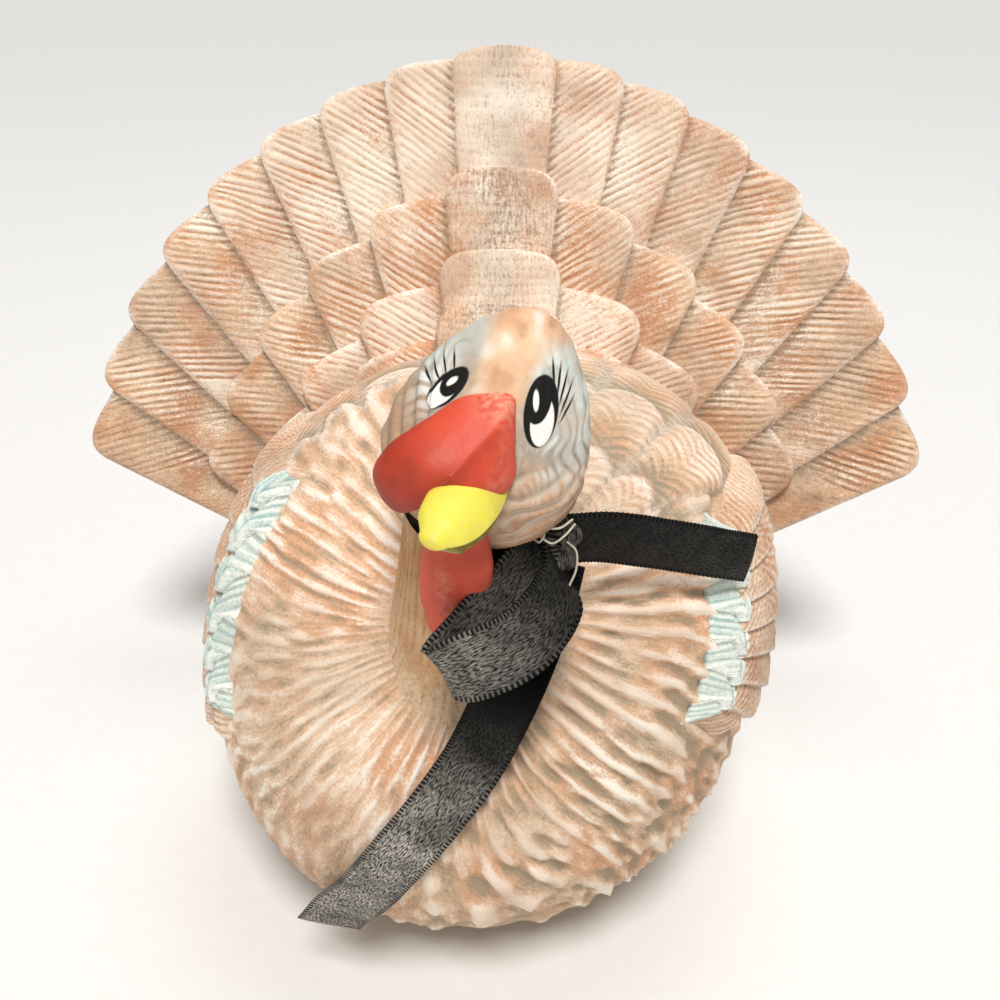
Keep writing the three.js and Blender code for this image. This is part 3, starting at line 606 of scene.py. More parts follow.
# A barb meets the rim at a slant, so the shortest way to the rim is 0.75 times the way along the barb.
EDGE_RADIUS, STRAIGHT_SHARE = 1.3, 0.75
FAN_AXES = np.array([[1, 0, 0], [0, np.sin(FAN_LEAN), np.cos(FAN_LEAN)],
                     [0, -np.cos(FAN_LEAN), np.sin(FAN_LEAN)]])


def blade_outline(length, tip):
    """Half the outline of a blade as a table of y and side: a straight taper, then a cubic blunt tip."""
    half, shoulder = tip / 2, length - 0.28 * tip
    y = np.linspace(BLADE_START, shoulder, 40)
    side = ROOT_WIDTH / 2 + (half - ROOT_WIDTH / 2) * y / shoulder
    t = np.linspace(0, 1, 40)[1:]
    u = 1 - t
    bend = lambda a, b, c, d: a * u ** 3 + 3 * b * t * u ** 2 + 3 * c * t * t * u + d * t ** 3
    y = np.concatenate([y, bend(shoulder, length - 0.04 * tip, length, length)])
    return y, np.concatenate([side, bend(half, half, half * 0.7, 0)])


def blade_edges(length, tip, slope):
    """Both edges of a blade as tables of barb and side; a barb is the line y = barb + slope * side."""
    y, side = blade_outline(length, tip)
    loop_side = np.concatenate([side, -side[-2::-1]])
    loop_y = np.concatenate([y, y[-2::-1]])
    barb = loop_y - slope * loop_side
    top = np.argmax(barb)
    outer = np.stack([barb[:top + 1], loop_side[:top + 1]])
    inner = np.stack([np.append(edge[top:], edge[0])[::-1] for edge in (barb, loop_side)])
    return outer, inner


def rounded(distance, radius):
    """How far a rounded edge has dropped: a quarter circle of a radius, 0 further in than it."""
    return radius * (1 - np.sqrt(1 - np.clip(1 - distance / radius, 0, 1) ** 2))


# %% [markdown]
# A feather is carved on both faces. Its barbs wander and fade a little, as tool marks in clay do. A
# painted shadow and the grey film lie against the edge of the feather that lies over it and thin out
# from there.

# %% One feather
def feather(row, k, level, seed):
    """One closed feather: grid lines are barbs between the two edges, front and back, with carved barbs."""
    out, tip = abs(k), row["tip"]
    reach_of = lambda out: row["length"] - out * (row["taper"] + row["droop"] * out)
    turn_out = lambda out: out * (row["spacing"] + row["spread"] * out)
    length = reach_of(out)
    slope = BARB_SLOPE if k else 0.0
    outer, inner = blade_edges(length, tip, slope)
    low, high = outer[0, 0] + 0.05, outer[0, -1] - 0.05
    shown = max(low + 1, row["shown"] - row["taper"] * 0.6 * out)
    barb = np.append(np.linspace(low, shown, 9, endpoint=False), np.linspace(shown, high, row["lines"]))
    s = eased(36)
    left, right = np.interp(barb, *inner)[:, None], np.interp(barb, *outer)[:, None]
    side = left + (right - left) * s
    y = barb[:, None] + slope * side
    b = barb[:, None] + 0 * s
    wander = 0.6 * noise(b / 6, side / 7, seed) + 0.35 * noise(b / 2.5, side / 9, seed + 1)
    ridge = ridges(b + wander, row["pitch"])
    ridge = 0.5 + (ridge - 0.5) * np.clip(0.6 + 0.6 * noise(b / 7, side / 6, seed + 2), 0.1, 1)
    from_rim, from_fold = (right - side) * STRAIGHT_SHARE, (side - left) * STRAIGHT_SHARE
    carve = row["carve"] * (1 if k else 0.2) * smooth(0.2, 1.8, from_rim)
    crown = 0.9 - 0.5 * smooth(0.4, 1, 2 * s - 1) - (1.5 if k else 0.5) * smooth(0.4, 1, 1 - 2 * s)
    crown = crown - 0.6 * smooth(length - 10, length + 2, y) ** 2
    lift = TILT * side if k else TILT * tip / 3
    edge = rounded(from_rim, EDGE_RADIUS) + rounded(from_fold, EDGE_RADIUS)
    front = level + lift + crown + carve * (ridge - 0.6) - edge
    back = level - row["thick"] + lift + 0.25 * ridges(b, 2 * row["pitch"], 1) + edge * 0.6
    mirror = -1 if k < 0 else 1
    angle = -turn_out(out) * (1 if k > 0 else -1)
    spin = np.array([[np.cos(angle), np.sin(angle), 0], [-np.sin(angle), np.cos(angle), 0], [0, 0, 1]])
    in_fan = lambda z: np.stack([mirror * side, y, z], axis=-1) @ spin @ FAN_AXES + FAN_ROOT
    mottle = noise(b / 5, side / 5, seed + 3)
    if k:
        ray, bearing = np.hypot(side, y), np.arctan2(side, y) + turn_out(out) - turn_out(out - 1)
        cover = np.interp(ray * np.cos(bearing), *blade_outline(reach_of(out - 1), tip))
        clear = np.maximum(ray * np.sin(bearing) - cover, 0)
    else:
        clear = 7 * np.abs(side) / tip
    # Painted shadow and grey film against the edge of the covering feather, thinning out from there.
    film_and_shade = 0.5 * bell(clear, 1.4) + (0.5 + 0.45 * mottle) * np.exp(-clear / 5)
    # Painted shadow of the row in front, fading over 16 mm above where it covers this feather.
    film_and_shade = film_and_shade + 0.3 * smooth(row["shown"] + 16, row["shown"], y)
    # The crevice against the covering feather is painted darker too, as painted shade.
    pale = row["pale"] - 0.15 * out + 0.25 * mottle - (0.9 * bell(clear, 0.9) if k else 0)
    worn = bell(from_rim, 0.75) * np.clip(0.45 + 0.9 * mottle, 0, 1)
    return slab(
        in_fan(front), in_fan(back),
        relief=((2 * ridge - 1) * np.clip(carve / row["carve"], 0.1, 1) + pale, 0),
        across=(b if k else side, b), along=(side * 1.4 + 37 * k if k else b, side),
        wash=(np.clip(film_and_shade, 0, 0.85), 0.25), rim=(worn, 0.3 * np.exp(-from_rim / 0.8)))


# %% [markdown]
# The rows have 17, 11, 7 and 5 feathers. Each row stands 3 mm in front of the row behind it, and the
# middle feather of a row lies over its neighbours. The long outer row is two pieces, left and right,
# so that neither has too many triangles.

# %% Tail rows
ROW_STEP = 3.0
TAIL_ROWS = {
    "tail_outer_row": dict(side=8, spacing=0.113, spread=0.0019, length=136.5, taper=1.9, droop=0.19, tip=23,
                           shown=92, lines=112, pitch=2.1, carve=0.62, thick=4.5, pale=0.85),
    "tail_middle_row": dict(side=5, spacing=0.172, spread=0, length=111, taper=5.7, droop=0, tip=25,
                            shown=74, lines=92, pitch=2.1, carve=0.5, thick=4.4, pale=0.35),
    "tail_inner_row": dict(side=3, spacing=0.228, spread=0, length=93.5, taper=7, droop=0, tip=27,
                           shown=62, lines=84, pitch=1.9, carve=0.45, thick=4.4, pale=0.75),
    "mantle_row": dict(side=2, spacing=0.28, spread=0, length=82, taper=7.2, droop=0, tip=28,
                       shown=54, lines=78, pitch=1.7, carve=0.42, thick=4.4, pale=0.3),
}
for level, (node, row) in enumerate(TAIL_ROWS.items()):
    feathers = {k: feather(row, k, ROW_STEP * level, 100 * level + 7 * k + 60)
                for k in range(-row["side"], row["side"] + 1)}
    groups = {"_feathers": list(feathers)} if row["side"] < 6 else {
        "_feathers_left": [k for k in feathers if k <= 0], "_feathers_right": [k for k in feathers if k > 0]}
    for ending, picked in groups.items():
        parts = [feathers[k] for k in picked]
        make_piece(node + ending, parts, feather_paint, node)

# %% [markdown]
# A folded wing lies on each side: a braid of small pale blue coverts down its front edge, and behind
# it eight long feathers whose ends step over each other. Both are drawn in side view and then pushed
# out onto the skin of the body, so that they hug it wherever it bends.

# %% Side view of the wings
FRONT_EDGE = np.array([[-20, 44], [-25, 35], [-29, 25], [-32, 16.5], [-35, 10], [-37.5, 6]], float)
BACK_EDGE = np.array([[8, 43], [22, 34], [26, 20], [22, 6], [14, -4], [2, -9], [-12, -9], [-25, -5],
                      [-30.1, -1.4]])
RIGHT_FORWARD, RIGHT_UP, RIGHT_TALL = 7, 9, 0.68
# Distances behind the front edge, at the top and at the foot of each wing: braid front, braid back.
BRAID = {-1: ((3.0, 6.0), (10.8, 10.8)), 1: ((5.4, 4.3), (8.9, 6.9))}
WING_ROWS = 200


def side_point(view, side, lift):
    """Skin beside a place (y, z) of the side view, where x solves |flat|^n + |z|^n = 1.

    n depends on x, so it takes six rounds. The right wing sits further forward, higher, and is less tall."""
    y, z = view[..., 0], view[..., 1]
    if side > 0:
        y, z = y - RIGHT_FORWARD, RIGHT_TALL * z + RIGHT_UP
    x, pressed = 40.0 + 0 * y, 0 * y
    for _ in range(6):
        wide, high = BODY_HALF[0] + lift - pressed, BODY_HALF[2] + lift - pressed
        deep = np.where(y < 0, BODY_HALF[1], BODY_BACK) + lift - pressed
        n = ROUND + SQUARER_BEHIND / 2 + SQUARER_BEHIND / 2 * (y / deep) / np.hypot(x / wide, y / deep)
        flat = np.maximum(1 - np.abs(z / high) ** n, 1e-4) ** (1 / n)
        x = wide * np.sqrt(np.maximum(flat ** 2 - (y / deep) ** 2, 1e-4))
        pressed = dent(np.stack([x / wide, y / deep, z / high], axis=-1))
    return np.stack([side * x + BODY_LEAN * z, y, z + BODY_MIDDLE[2]], axis=-1)


def braid_edge(side, which, forward=0.0):
    """The front (0) or back (1) edge of the braid of one wing: the front edge of the wing, moved back."""
    edge, share = smooth_path(FRONT_EDGE, WING_ROWS), np.linspace(0, 1, WING_ROWS)
    way = np.stack([1 - 0.25 * share, -0.75 * share], axis=-1)
    distance = np.linspace(*BRAID[side][which], WING_ROWS) - forward
    return edge + (distance * (1 - 0.35 * share))[:, None] * way


# %% [markdown]
# The coverts look plaited, because the barbs of each small feather slant the other way than those of
# the next. One strip with a repeating step is enough for that, and its front edge is tucked into the
# breast, where the real one is smoothed into the clay.

# %% Coverts
COVERTS, COVERT_BARB, BRAID_RISE, COVERT_STEP = 6.6, 1.5, 2.3, 1.6


def coverts(side, seed):
    """Seven overlapping small feathers: the height rises to each round tip, and barbs slant by turns."""
    p, s = np.linspace(0, 1, WING_ROWS)[:, None], eased(44)
    front, back = braid_edge(side, 0)[:, None], braid_edge(side, 1)[:, None]
    view = front + (back - front) * s[..., None]
    tucked = smooth(-0.05, 0.25, s) * smooth(0, 0.1, p) * smooth(1, 0.9, p)
    round_tip = 0.8 * (2 * np.maximum(s, 0.2) - 1.2) ** 2
    cell = COVERTS * p + round_tip + 0.12 * noise(7 * p + 0 * s, 3 * s + 0 * p, seed)
    g, leaf = cell % 1, np.floor(cell)
    barb = g * 6 + np.where(leaf % 2 == 0, 1, -1) * 5 * s
    ridge = ridges(barb, COVERT_BARB)
    step = smooth(0, 0.8, g) * (1 - smooth(0.93, 1, g))
    rise = BRAID_RISE + COVERT_STEP * step + 0.35 * (ridge - 0.5)
    lift = tucked * rise - rounded(1 - s, 0.14) * 8 * tucked - 0.6
    tip = np.maximum(bell(1 - g, 0.16), 0.8 * smooth(0.8, 0.95, s))
    # Painted shade at the root of each small feather, under the tip of the one before.
    return slab(side_point(view, side, lift), side_point(view, side, 0 * lift - 1), relief=1.5 * ridge - 0.75,
                across=barb, along=s * 6, wash=0.9 * smooth(0.35, 0, g), rim=tip)


# %% [markdown]
# The long feathers come out from under the braid and fan out to scalloped ends. Each has a fine quill
# and lies over the next one below it, so a height that steps up across every feather is all they need.

# %% Long feathers of the wings
LONG = len(BACK_EDGE) - 1
LONG_BARB, LONG_RISE, LONG_STEP = 1.9, 1.7, 1.1
FAN_MIDDLE, SCALLOP = np.array([-4.0, 16.0]), 1.22


def long_feathers(side, seed):
    """Eight feathers ruled from the back of the braid to their ends, which swell out from a middle."""
    p, s = np.linspace(0, 0.9999, WING_ROWS)[:, None], eased(54)
    m, g = np.floor(LONG * p).astype(int), LONG * p - np.floor(LONG * p)
    swell = FAN_MIDDLE + SCALLOP * ((BACK_EDGE[:-1] + BACK_EDGE[1:]) / 2 - FAN_MIDDLE)
    i = m[:, 0]
    end = (1 - g) ** 2 * BACK_EDGE[i] + 2 * g * (1 - g) * swell[i] + g ** 2 * BACK_EDGE[i + 1]
    front = braid_edge(side, 1, 1.0)
    view = front[:, None] + (end - front)[:, None] * s[..., None]
    reach = np.linalg.norm(end - front, axis=1)[:, None]
    barb = s * reach + 6 * g + 0.5 * noise(s * 9 + 0 * p, LONG * p + 0 * s, seed)
    ridge = ridges(barb, LONG_BARB)
    step = smooth(0, 0.25, g) * 0.4 + 0.6 * g
    quill = bell(g - 0.5, 0.06)
    lift = LONG_RISE + LONG_STEP * step + 0.3 * (ridge - 0.5) + 0.15 * quill
    lift = lift - rounded(reach * (1 - s), 1.8) * 0.67
    tucked = smooth(0, 0.1, p) * smooth(1, 0.87, p)
    outer = side_point(view, side, tucked * (lift + 1.2) - 1.2)
    inner = side_point(view, side, 1.9 * tucked - 1.6 + 0 * lift)
    rim = np.maximum(bell(1 - g, 0.1), bell(reach * (1 - s), 1.2))
    # Painted shade at the start of each feather, against the raised edge of the one beside it.
    return slab(outer, inner, relief=1.5 * ridge - 0.8, across=barb, along=g * 12 + 31 * m,
                wash=0.5 * smooth(0.25, 0, g), rim=0.8 * rim)


for name, side in (("left", -1), ("right", 1)):
    make_piece(name + "_covert_braid", [coverts(side, 21 + side)], covert_paint, name + "_wing_coverts")
    make_piece(name + "_long_feathers", [long_feathers(side, 31 + side)], feather_paint,
               name + "_wing_primaries")

# %% [markdown]
# Neck, beak, wattle, knot and thread are round and drawn out along a path. A bevelled curve could do
# that, but it gives no say over each ring. Here ellipses are carried along the path, each end is closed
# with a half dome, and relief is pushed out along the normals.

# %% Lofts
END_ROWS = 10


def round_loft(stops, facing, rows, cols, pinch=0.0):
    """Ellipses along a smooth path: across is facing x along, and each end is closed with a half dome.

    On the side of positive cos, depth goes with |sin| ** pinch, which draws that side out to a corner.
    Gives the grid, the share along it and the turn round it."""
    path = smooth_path(stops, rows)
    along = unit(np.gradient(path[:, :3], axis=0))
    a = np.linspace(0.5 * np.pi * 0.96, 0, END_ROWS, endpoint=False)[:, None]
    domes = [np.concatenate([end[:, :3] + way * end[:, 4:] * np.sin(a), end[:, 3:] * np.cos(a)], axis=1)
             for end, way in ((path[:1], -along[:1]), (path[-1:], along[-1:]))]
    path = np.concatenate([domes[0], path, domes[1][::-1]])
    along = np.pad(along, ((END_ROWS, END_ROWS), (0, 0)), mode="edge")
    across = unit(np.cross(np.asarray(facing, float), along))
    deep = np.cross(along, across)
    turn = np.linspace(0, 2 * np.pi, cols, endpoint=False)[None, :, None]
    high = np.sin(turn) * np.abs(np.sin(turn)) ** (pinch * (np.cos(turn) > 0))
    ring = across[:, None] * path[:, None, 3:4] * np.cos(turn) + deep[:, None] * path[:, None, 4:5] * high
    return path[:, None, :3] + ring, np.linspace(0, 1, len(path))[:, None], turn[..., 0]


def pushed(grid, height):
    """A grid moved along its outward normals by a height in mm."""
    normal = face_normals(grid)
    outside = np.sum(normal * (grid - grid.mean(axis=1, keepdims=True)), axis=-1, keepdims=True)
    return grid + normal * np.sign(np.median(outside)) * height[..., None]


# %% [markdown]
# The neck is a bare round column that widens into the breast, with fine upright grooves like hair.
# Its tan is plainer than the breast, and streaks of cream run up onto its foot.

# %% Neck
NECK_TOP = np.array([1.4, -39, 109.9])
NECK_HAIRS, NECK_GROOVE = 44, 0.3
NECK = [[*(NECK_TOP + [-3.6, 3, -46]), 15.4, 15.4], [*(NECK_TOP + [-1.8, 0.5, -25.3]), 11.9, 11.9],
        [*NECK_TOP, 10.6, 10.6]]
column, t, around = round_loft(NECK, [0, -1, 0], 110, 300)
hair = around * NECK_HAIRS / (2 * np.pi) + 0.6 * noise(around * 16 / (2 * np.pi), t * 5, 41, 16)
groove = ridges(hair, 1, 0.7) * (0.65 + 0.35 * noise(hair, t * 7, 43, NECK_HAIRS))
# The cream of the breast is brushed up onto the foot of the neck, in streaks that reach some 6 mm.
skin_below = body_point(unit(column - BODY_MIDDLE), 0 * column[..., 0])
above = np.linalg.norm(column - BODY_MIDDLE, axis=-1) - np.linalg.norm(skin_below - BODY_MIDDLE, axis=-1)
brushed_up = smooth(6, 1, above + 4 * (groove - 0.5))
neck_paint = dry_brushed(
    "dry_brushed_tan_bisque", "#DDB187", "#CB9768", "#A8957B", "#8A7056", "#EBCDA8", "#EBD2B2", 0.3, 0.6, 0.5)
neck_part = closed_part(
    pushed(column, NECK_GROOVE * (groove - 0.6)),
    relief=2 * groove - 1, across=hair * 1.6, along=t * 50 + 0 * hair,
    wash=0.5 * brushed_up * (1 - groove), rim=0.75 * brushed_up)
make_piece("neck_column", [neck_part], neck_paint, "neck")

# %% [markdown]
# The head is a pear, wide at the jowls, and tipped to one side. Everything on the face is laid out
# in the head's own frame, x to the right, y backwards and z to the crown, and then tipped with it.

# %% Head
HEAD_HALF = np.array([14.5, 14.3, 18.1])
ROLL = 0.358
JOWL_FOLD, CHEEK_FOLD, HAIR_GAP = 2.5, 2.6, 1.3
TIP = np.array([[np.cos(ROLL), 0, np.sin(ROLL)], [0, 1, 0], [-np.sin(ROLL), 0, np.cos(ROLL)]])


def on_head(local):
    """Points of the head's own frame turned by its roll and moved to its middle."""
    return local @ TIP.T + HEAD


up, around = np.linspace(-1.55, 1.55, 200)[:, None], np.linspace(0, 2 * np.pi, 320, endpoint=False)[None, :]
girth = np.cos(up) * (1 - 0.31 * np.sin(up))
pear = np.stack([np.cos(around) * girth, np.sin(around) * girth, np.sin(up) + 0 * around], axis=-1)
pear = pear * HEAD_HALF
x, y, z = np.moveaxis(pear, -1, 0)
face = smooth(4, -3, y)
left_cheek = smooth(-8, -10.5, x)
folds = np.cos(2 * np.pi * (np.hypot(x + 6, z - 14) + 1.1 * noise(x / 3, z / 3, 51)) / JOWL_FOLD)
jowl = smooth(2, 5, x) * smooth(2.5, -2, z) * smooth(4, 6, np.hypot(x - 1.0, 1.1 * (z + 11.5))) * face
cheek = np.cos(2 * np.pi * (x + 0.5 * z + 0.8 * noise(x / 3, z / 5, 52)) / CHEEK_FOLD)
cheek = cheek * left_cheek * smooth(9, 3, z)
hairs = ridges(0.9 * np.abs(x) + 0.5 * z + 1.5 * noise(x / 3, z / 3, 53), HAIR_GAP, 1)
temple = smooth(2.2, 5, np.abs(x + 2)) * smooth(0, 6, z)
height = 0.3 * folds * jowl + 0.35 * cheek * face + 0.1 * hairs * (temple + 1 - face) * (1 - 0.5 * jowl)
head_grid = pushed(pear, height)
print("head folds in mm, lowest and highest:", round(float(height.min()), 2), round(float(height.max()), 2))

# %% [markdown]
# The face is painted and not carved: soft washes of blue-grey beside a tan stripe, brown in the folds
# and white on the hairs, and brown as painted shade under the chin. A wash has no sharp edge, so a value
# on each point is enough to hold it.

# %% Face washes
def spot(middle_x, wide, middle_z, tall):
    """A soft round spot: exp(-((x - middle_x) / wide)^2 - ((z - middle_z) / tall)^2)."""
    return np.exp(-((x - middle_x) / wide) ** 2 - ((z - middle_z) / tall) ** 2)


cloudy = noise(x / 2.4, z / 2.4, 54)
stripe = np.exp(-((x + 2.2 + 0.28 * (14 - z)) / 3.6) ** 4) * smooth(3, 8, z) * face
lines = smooth(0.35, 0.1, hairs) * (1 - stripe) * face * smooth(13, 9.5, np.abs(x))
teal = (0.95 + 0.4 * cloudy) * temple * (1 - stripe) * smooth(17.8, 14, z)
beside_stripe = bell(np.abs(x + 2.2) - 4.8, 1.7) * smooth(16, 9, z) * face
grey = most((0.8 + 0.4 * noise(x / 3, z / 3, 55)) * smooth(9, 3, z) * face * (1 - 0.3 * jowl),
            0.7 * beside_stripe, 0.55 * lines * smooth(18, 12, z),
            (0.6 + 0.3 * cheek) * left_cheek * smooth(9, 5, z))
mottle = noise(x / 1.8, z / 1.8, 56) * smooth(7, 11, z)
# The brown also darkens the underside of the chin, as painted shade.
brown_and_chin_shade = most(0.6 * jowl * smooth(-0.4, 0.9, folds) + 0.4 * smooth(-9, -11.5, x) * smooth(7, 2, z),
             0.9 * smooth(-11, -15, z) * face, 0.5 * smooth(0.1, 0.8, mottle))
white = most(smooth(0.1, 0.6, 0.6 * cloudy + 0.7 * hairs - 0.2) * spot(8.5, 5, 6, 8),
             smooth(0, 0.5, cloudy) * spot(-7.5, 3, 10.5, 4),
             0.35 * jowl * smooth(0.2, -0.9, folds),
             0.8 * smooth(0.2, 0.7, hairs) * spot(12, 3.5, 4, 7),
             0.8 * smooth(0.3, 0.8, hairs) * spot(-11.5, 2.6, 5, 4),
             0.6 * smooth(0.1, 0.8, -mottle))
washes = {"grey": np.clip(grey, 0, 0.9), "teal": np.clip(teal, 0, 1), "brown_and_chin_shade": np.clip(brown_and_chin_shade, 0, 1),
          "white": white * face}
print("face washes:", {key: round(float(value.max()), 2) for key, value in washes.items()})

# %% [markdown]
# Over the washes come two bold almond eyes with lashes. They need crisp edges at any distance, finer
# than the points of the skin, so each stroke is an ellipse in the nodes: a mapping that turns it into
# a unit circle.

# %% Face paint
BLACK, WHITE, LASH, SOFT_EDGE = "#0E0D0C", "#F6F3EC", 0.17, 0.06
EYES = [  # middle x, middle z, half width, half length, turn, paint
    (4.0, 8.3, 2.35, 4.5, -0.3, BLACK), (4.6, 7.2, 1.6, 3.1, -0.3, WHITE),
    (3.2, 9.6, 1.7, 2.9, -0.22, BLACK), (2.8, 9.5, 0.4, 1.3, -0.38, WHITE),
    (-8.9, 6.1, 1.35, 3.8, 0.5, BLACK), (-9.25, 5.4, 0.95, 2.9, 0.5, WHITE),
    (-8.55, 6.9, 1.0, 2.1, 0.5, BLACK), (-8.6, 7.2, 0.3, 0.9, 0.6, WHITE),
]
LASHES = [  # middle x, middle z, half length, turn
    (3.9, 13.0, 1.7, -0.45), (5.0, 12.3, 1.9, -0.25), (6.0, 11.4, 2.0, -0.08), (6.9, 10.3, 1.9, 0.08),
    (7.5, 9.0, 1.6, 0.25), (-11.7, 5.2, 0.9, -1.4), (-11.0, 6.6, 1.0, -1.1), (-10.2, 7.9, 1.0, -0.8),
    (-9.2, 9.1, 0.9, -0.5),
]
face_paint, tree, shader = new_finish("hand_painted_bisque_face", Roughness=0.75, Specular_IOR_Level=0.3)
place = in_metres(tree)
local = add(tree, "ShaderNodeMapping", {
    "Vector": place, "Location": tuple((HEAD + SHIFT) * MM), "Rotation": (0, ROLL, 0), "Scale": (MM, MM, MM)},
    vector_type="TEXTURE").outputs[0]
# Brushed washes break up in flecks of about 1.2 mm on clouds of 6 mm; the clay has a grit of 0.5 mm.
grit = grain(tree, place, 0.0005, 2.0)
broken = ramp(tree, grain(tree, place, 0.0012, 4.0), 0.3, 0.62, 0.55, 1.0)
coat = coated(tree, ramp(tree, grain(tree, place, 0.006, 4.0), 0.35, 0.65), "#E9C49E", "#D9A27A")
for key, colour in (("teal", "#C3D0CA"), ("grey", "#948D7F"), ("brown_and_chin_shade", "#A9754F"), ("white", "#F1F1E8")):
    coat = coated(tree, calc(tree, "MULTIPLY", stored(tree, key), broken), coat, colour)
backwards = add(tree, "ShaderNodeSeparateXYZ", {"Vector": local}).outputs["Y"]
front_only = ramp(tree, backwards, 2.5, 1.5)
lash_strokes = [(right, up, LASH, long, lean, BLACK) for right, up, long, lean in LASHES]
for right, up, wide, long, lean, colour in EYES + lash_strokes:
    circle = add(tree, "ShaderNodeMapping", {
        "Vector": local, "Location": (right, 0, up), "Rotation": (0, lean, 0), "Scale": (wide, 1000, long)},
        vector_type="TEXTURE")
    radius = add(tree, "ShaderNodeVectorMath", {0: circle.outputs[0]}, operation="LENGTH").outputs["Value"]
    inside = ramp(tree, radius, 1 + SOFT_EDGE / wide, 1 - SOFT_EDGE / wide)
    coat = coated(tree, calc(tree, "MULTIPLY", inside, front_only), coat, colour)
finished(tree, shader, coat, grit, 0.3, 0.0003)
make_piece("painted_head", [closed_part(on_head(head_grid), **washes)], face_paint, "head")

# %% [markdown]
# Snood and wattle are fleshy and painted red, and the two halves of the beak yellow. The paint is
# smoother and a little glossier than on the feathers, and rubbed pale on ridges. Creases, the low side
# of the snood and the places under other parts are painted darker, as painted shade.

# %% Red and yellow paint
def smooth_paint(name, main, deep, rubbed):
    """Brushed acrylic: two tones, mixed by soft clouds of 6 mm and by the painted shade in the value fold,
    and rubbed specks where the value rub is high.
    """
    material, tree, shader = new_finish(name, Roughness=0.5, Specular_IOR_Level=0.4)
    place = in_metres(tree)
    specks = grain(tree, place, 0.0011, 4.0)
    uneven = ramp(tree, grain(tree, place, 0.006, 4.0), 0.3, 0.7, -0.25, 0.3)
    # Painted shade from the stored fold value, with a little random tone added.
    shade_and_tone = calc(tree, "ADD", stored(tree, "fold"), uneven, use_clamp=True)
    bare = calc(tree, "MULTIPLY", stored(tree, "rub"), ramp(tree, specks, 0.36, 0.66))
    coat = coated(tree, bare, coated(tree, shade_and_tone, main, deep), rubbed)
    finished(tree, shader, coat, specks, 0.25, 0.0003)
    return material


red_paint = smooth_paint("brushed_red_acrylic", "#D84D33", "#962E1A", "#E9B08F")
yellow_paint = smooth_paint("brushed_yellow_acrylic", "#EDE04C", "#A8953A", "#CFCBB0")
print("finishes:", red_paint.name, yellow_paint.name)

# %% [markdown]
# The snood is a soft flap that starts between the eyes, covers the root of the beak and hangs to the
# left. It is drawn like a cushion: a rim, a middle, and a skin that swells between them.

# %% Snood
SNOOD_RIM = np.array([
    [-0.4, -0.741, 0.392], [-0.028, -0.755, 0.514], [0.076, -0.853, 0.354], [0.166, -0.923, 0.188],
    [0.262, -0.979, 0], [0.207, -1.049, -0.122], [-0.103, -1.119, -0.166], [-0.386, -1.154, -0.276],
    [-0.524, -1.154, -0.475], [-0.655, -1.119, -0.564], [-0.793, -1.084, -0.536], [-0.986, -1.049, -0.376],
    [-0.979, -1.014, -0.149], [-0.71, -0.895, 0.155]]) * HEAD_HALF
SNOOD_MIDDLE = np.array([-0.345, -1.063, -0.028]) * HEAD_HALF
SWELL_FRONT, SWELL_BACK = 5, 3
# The path runs on past both ends of the list, and one round is cut out of it, so the rim has no kink.
loop = smooth_path(np.concatenate([SNOOD_RIM[-3:], SNOOD_RIM, SNOOD_RIM[:4]]), 241)
from_start = np.linalg.norm(loop - SNOOD_RIM[0], axis=1)
rim = loop[np.argmin(from_start[:120]):120 + np.argmin(from_start[120:])]
rim = rim[:len(rim) // 2 * 2]
swing = np.linspace(0.03, np.pi - 0.03, 90)[:, None]
flap = SNOOD_MIDDLE + np.sin(swing)[..., None] * (rim - SNOOD_MIDDLE)
flap[..., 1] -= np.cos(swing) * np.where(swing < np.pi / 2, SWELL_FRONT, SWELL_BACK)
fx, fz = flap[..., 0], flap[..., 2]
crease = bell(fx + 3.2 - 0.55 * (fz - 1), 1.5) * smooth(9, 4, fz)
flap = pushed(flap, 0.2 * noise(fx / 3 + 20, fz / 3 + 20, 61) - 0.2 * crease)
worn = bell(np.sin(swing) - 0.72, 0.2) * smooth(-1.5, 0.5, fx) * smooth(-3.5, -1, fz)
# The fold value is painted shade: darker low on the flap and towards its left, and in the crease.
snood = closed_part(on_head(flap), fold=np.clip(0.9 * smooth(3, -8, fz + 0.3 * fx) + 0.35 * crease, 0, 1),
                    rub=0.2 * worn + 0.85 * smooth(5.5, 9.5, fz))
make_piece("snood_flap", [snood], red_paint, "snood")

# %% [markdown]
# The beak is two flat cones that close on each other below the snood, and the wattle hangs under them
# like a drop. Both are lofts, as the neck is; a pinch draws the right side of the beak to a corner.

# %% Beak and wattle
UPPER = [[-1.2, -10, -1.9, 5, 2.0], [-2.1, -19.45, -3.7, 4.9, 2.6], [-3.7, -24.7, -5.5, 3.9, 2.4],
         [-4.6, -26.7, -6.4, 2.1, 1.3]]
LOWER = [[-0.7, -10, -4.5, 4.6, 1.2], [-1.6, -18.8, -6.3, 4.4, 1.2], [-3.3, -24.1, -7.9, 3.2, 0.9]]
for name, node, stops in (("beak_upper_half", "upper_beak", UPPER), ("beak_lower_half", "lower_beak", LOWER)):
    half, t, around = round_loft(stops, [-0.06, 0, 1], 70, 90, pinch=0.8)
    rise = half[..., 2] - half.mean(axis=1, keepdims=True)[..., 2]
    # Painted shade where the halves meet: under the upper one, and on top of the lower one. The paint is
    # also a little darker towards the root.
    meet = smooth(-0.2, -1.2, rise) if node == "upper_beak" else 0.35 + 0.65 * smooth(-1.2, -0.7, rise)
    part = closed_part(on_head(half), fold=np.clip(meet + 0.25 * smooth(-17, -12, half[..., 1]), 0, 1),
                       rub=0.12 + 0.3 * meet)
    make_piece(name, [part], yellow_paint, node)
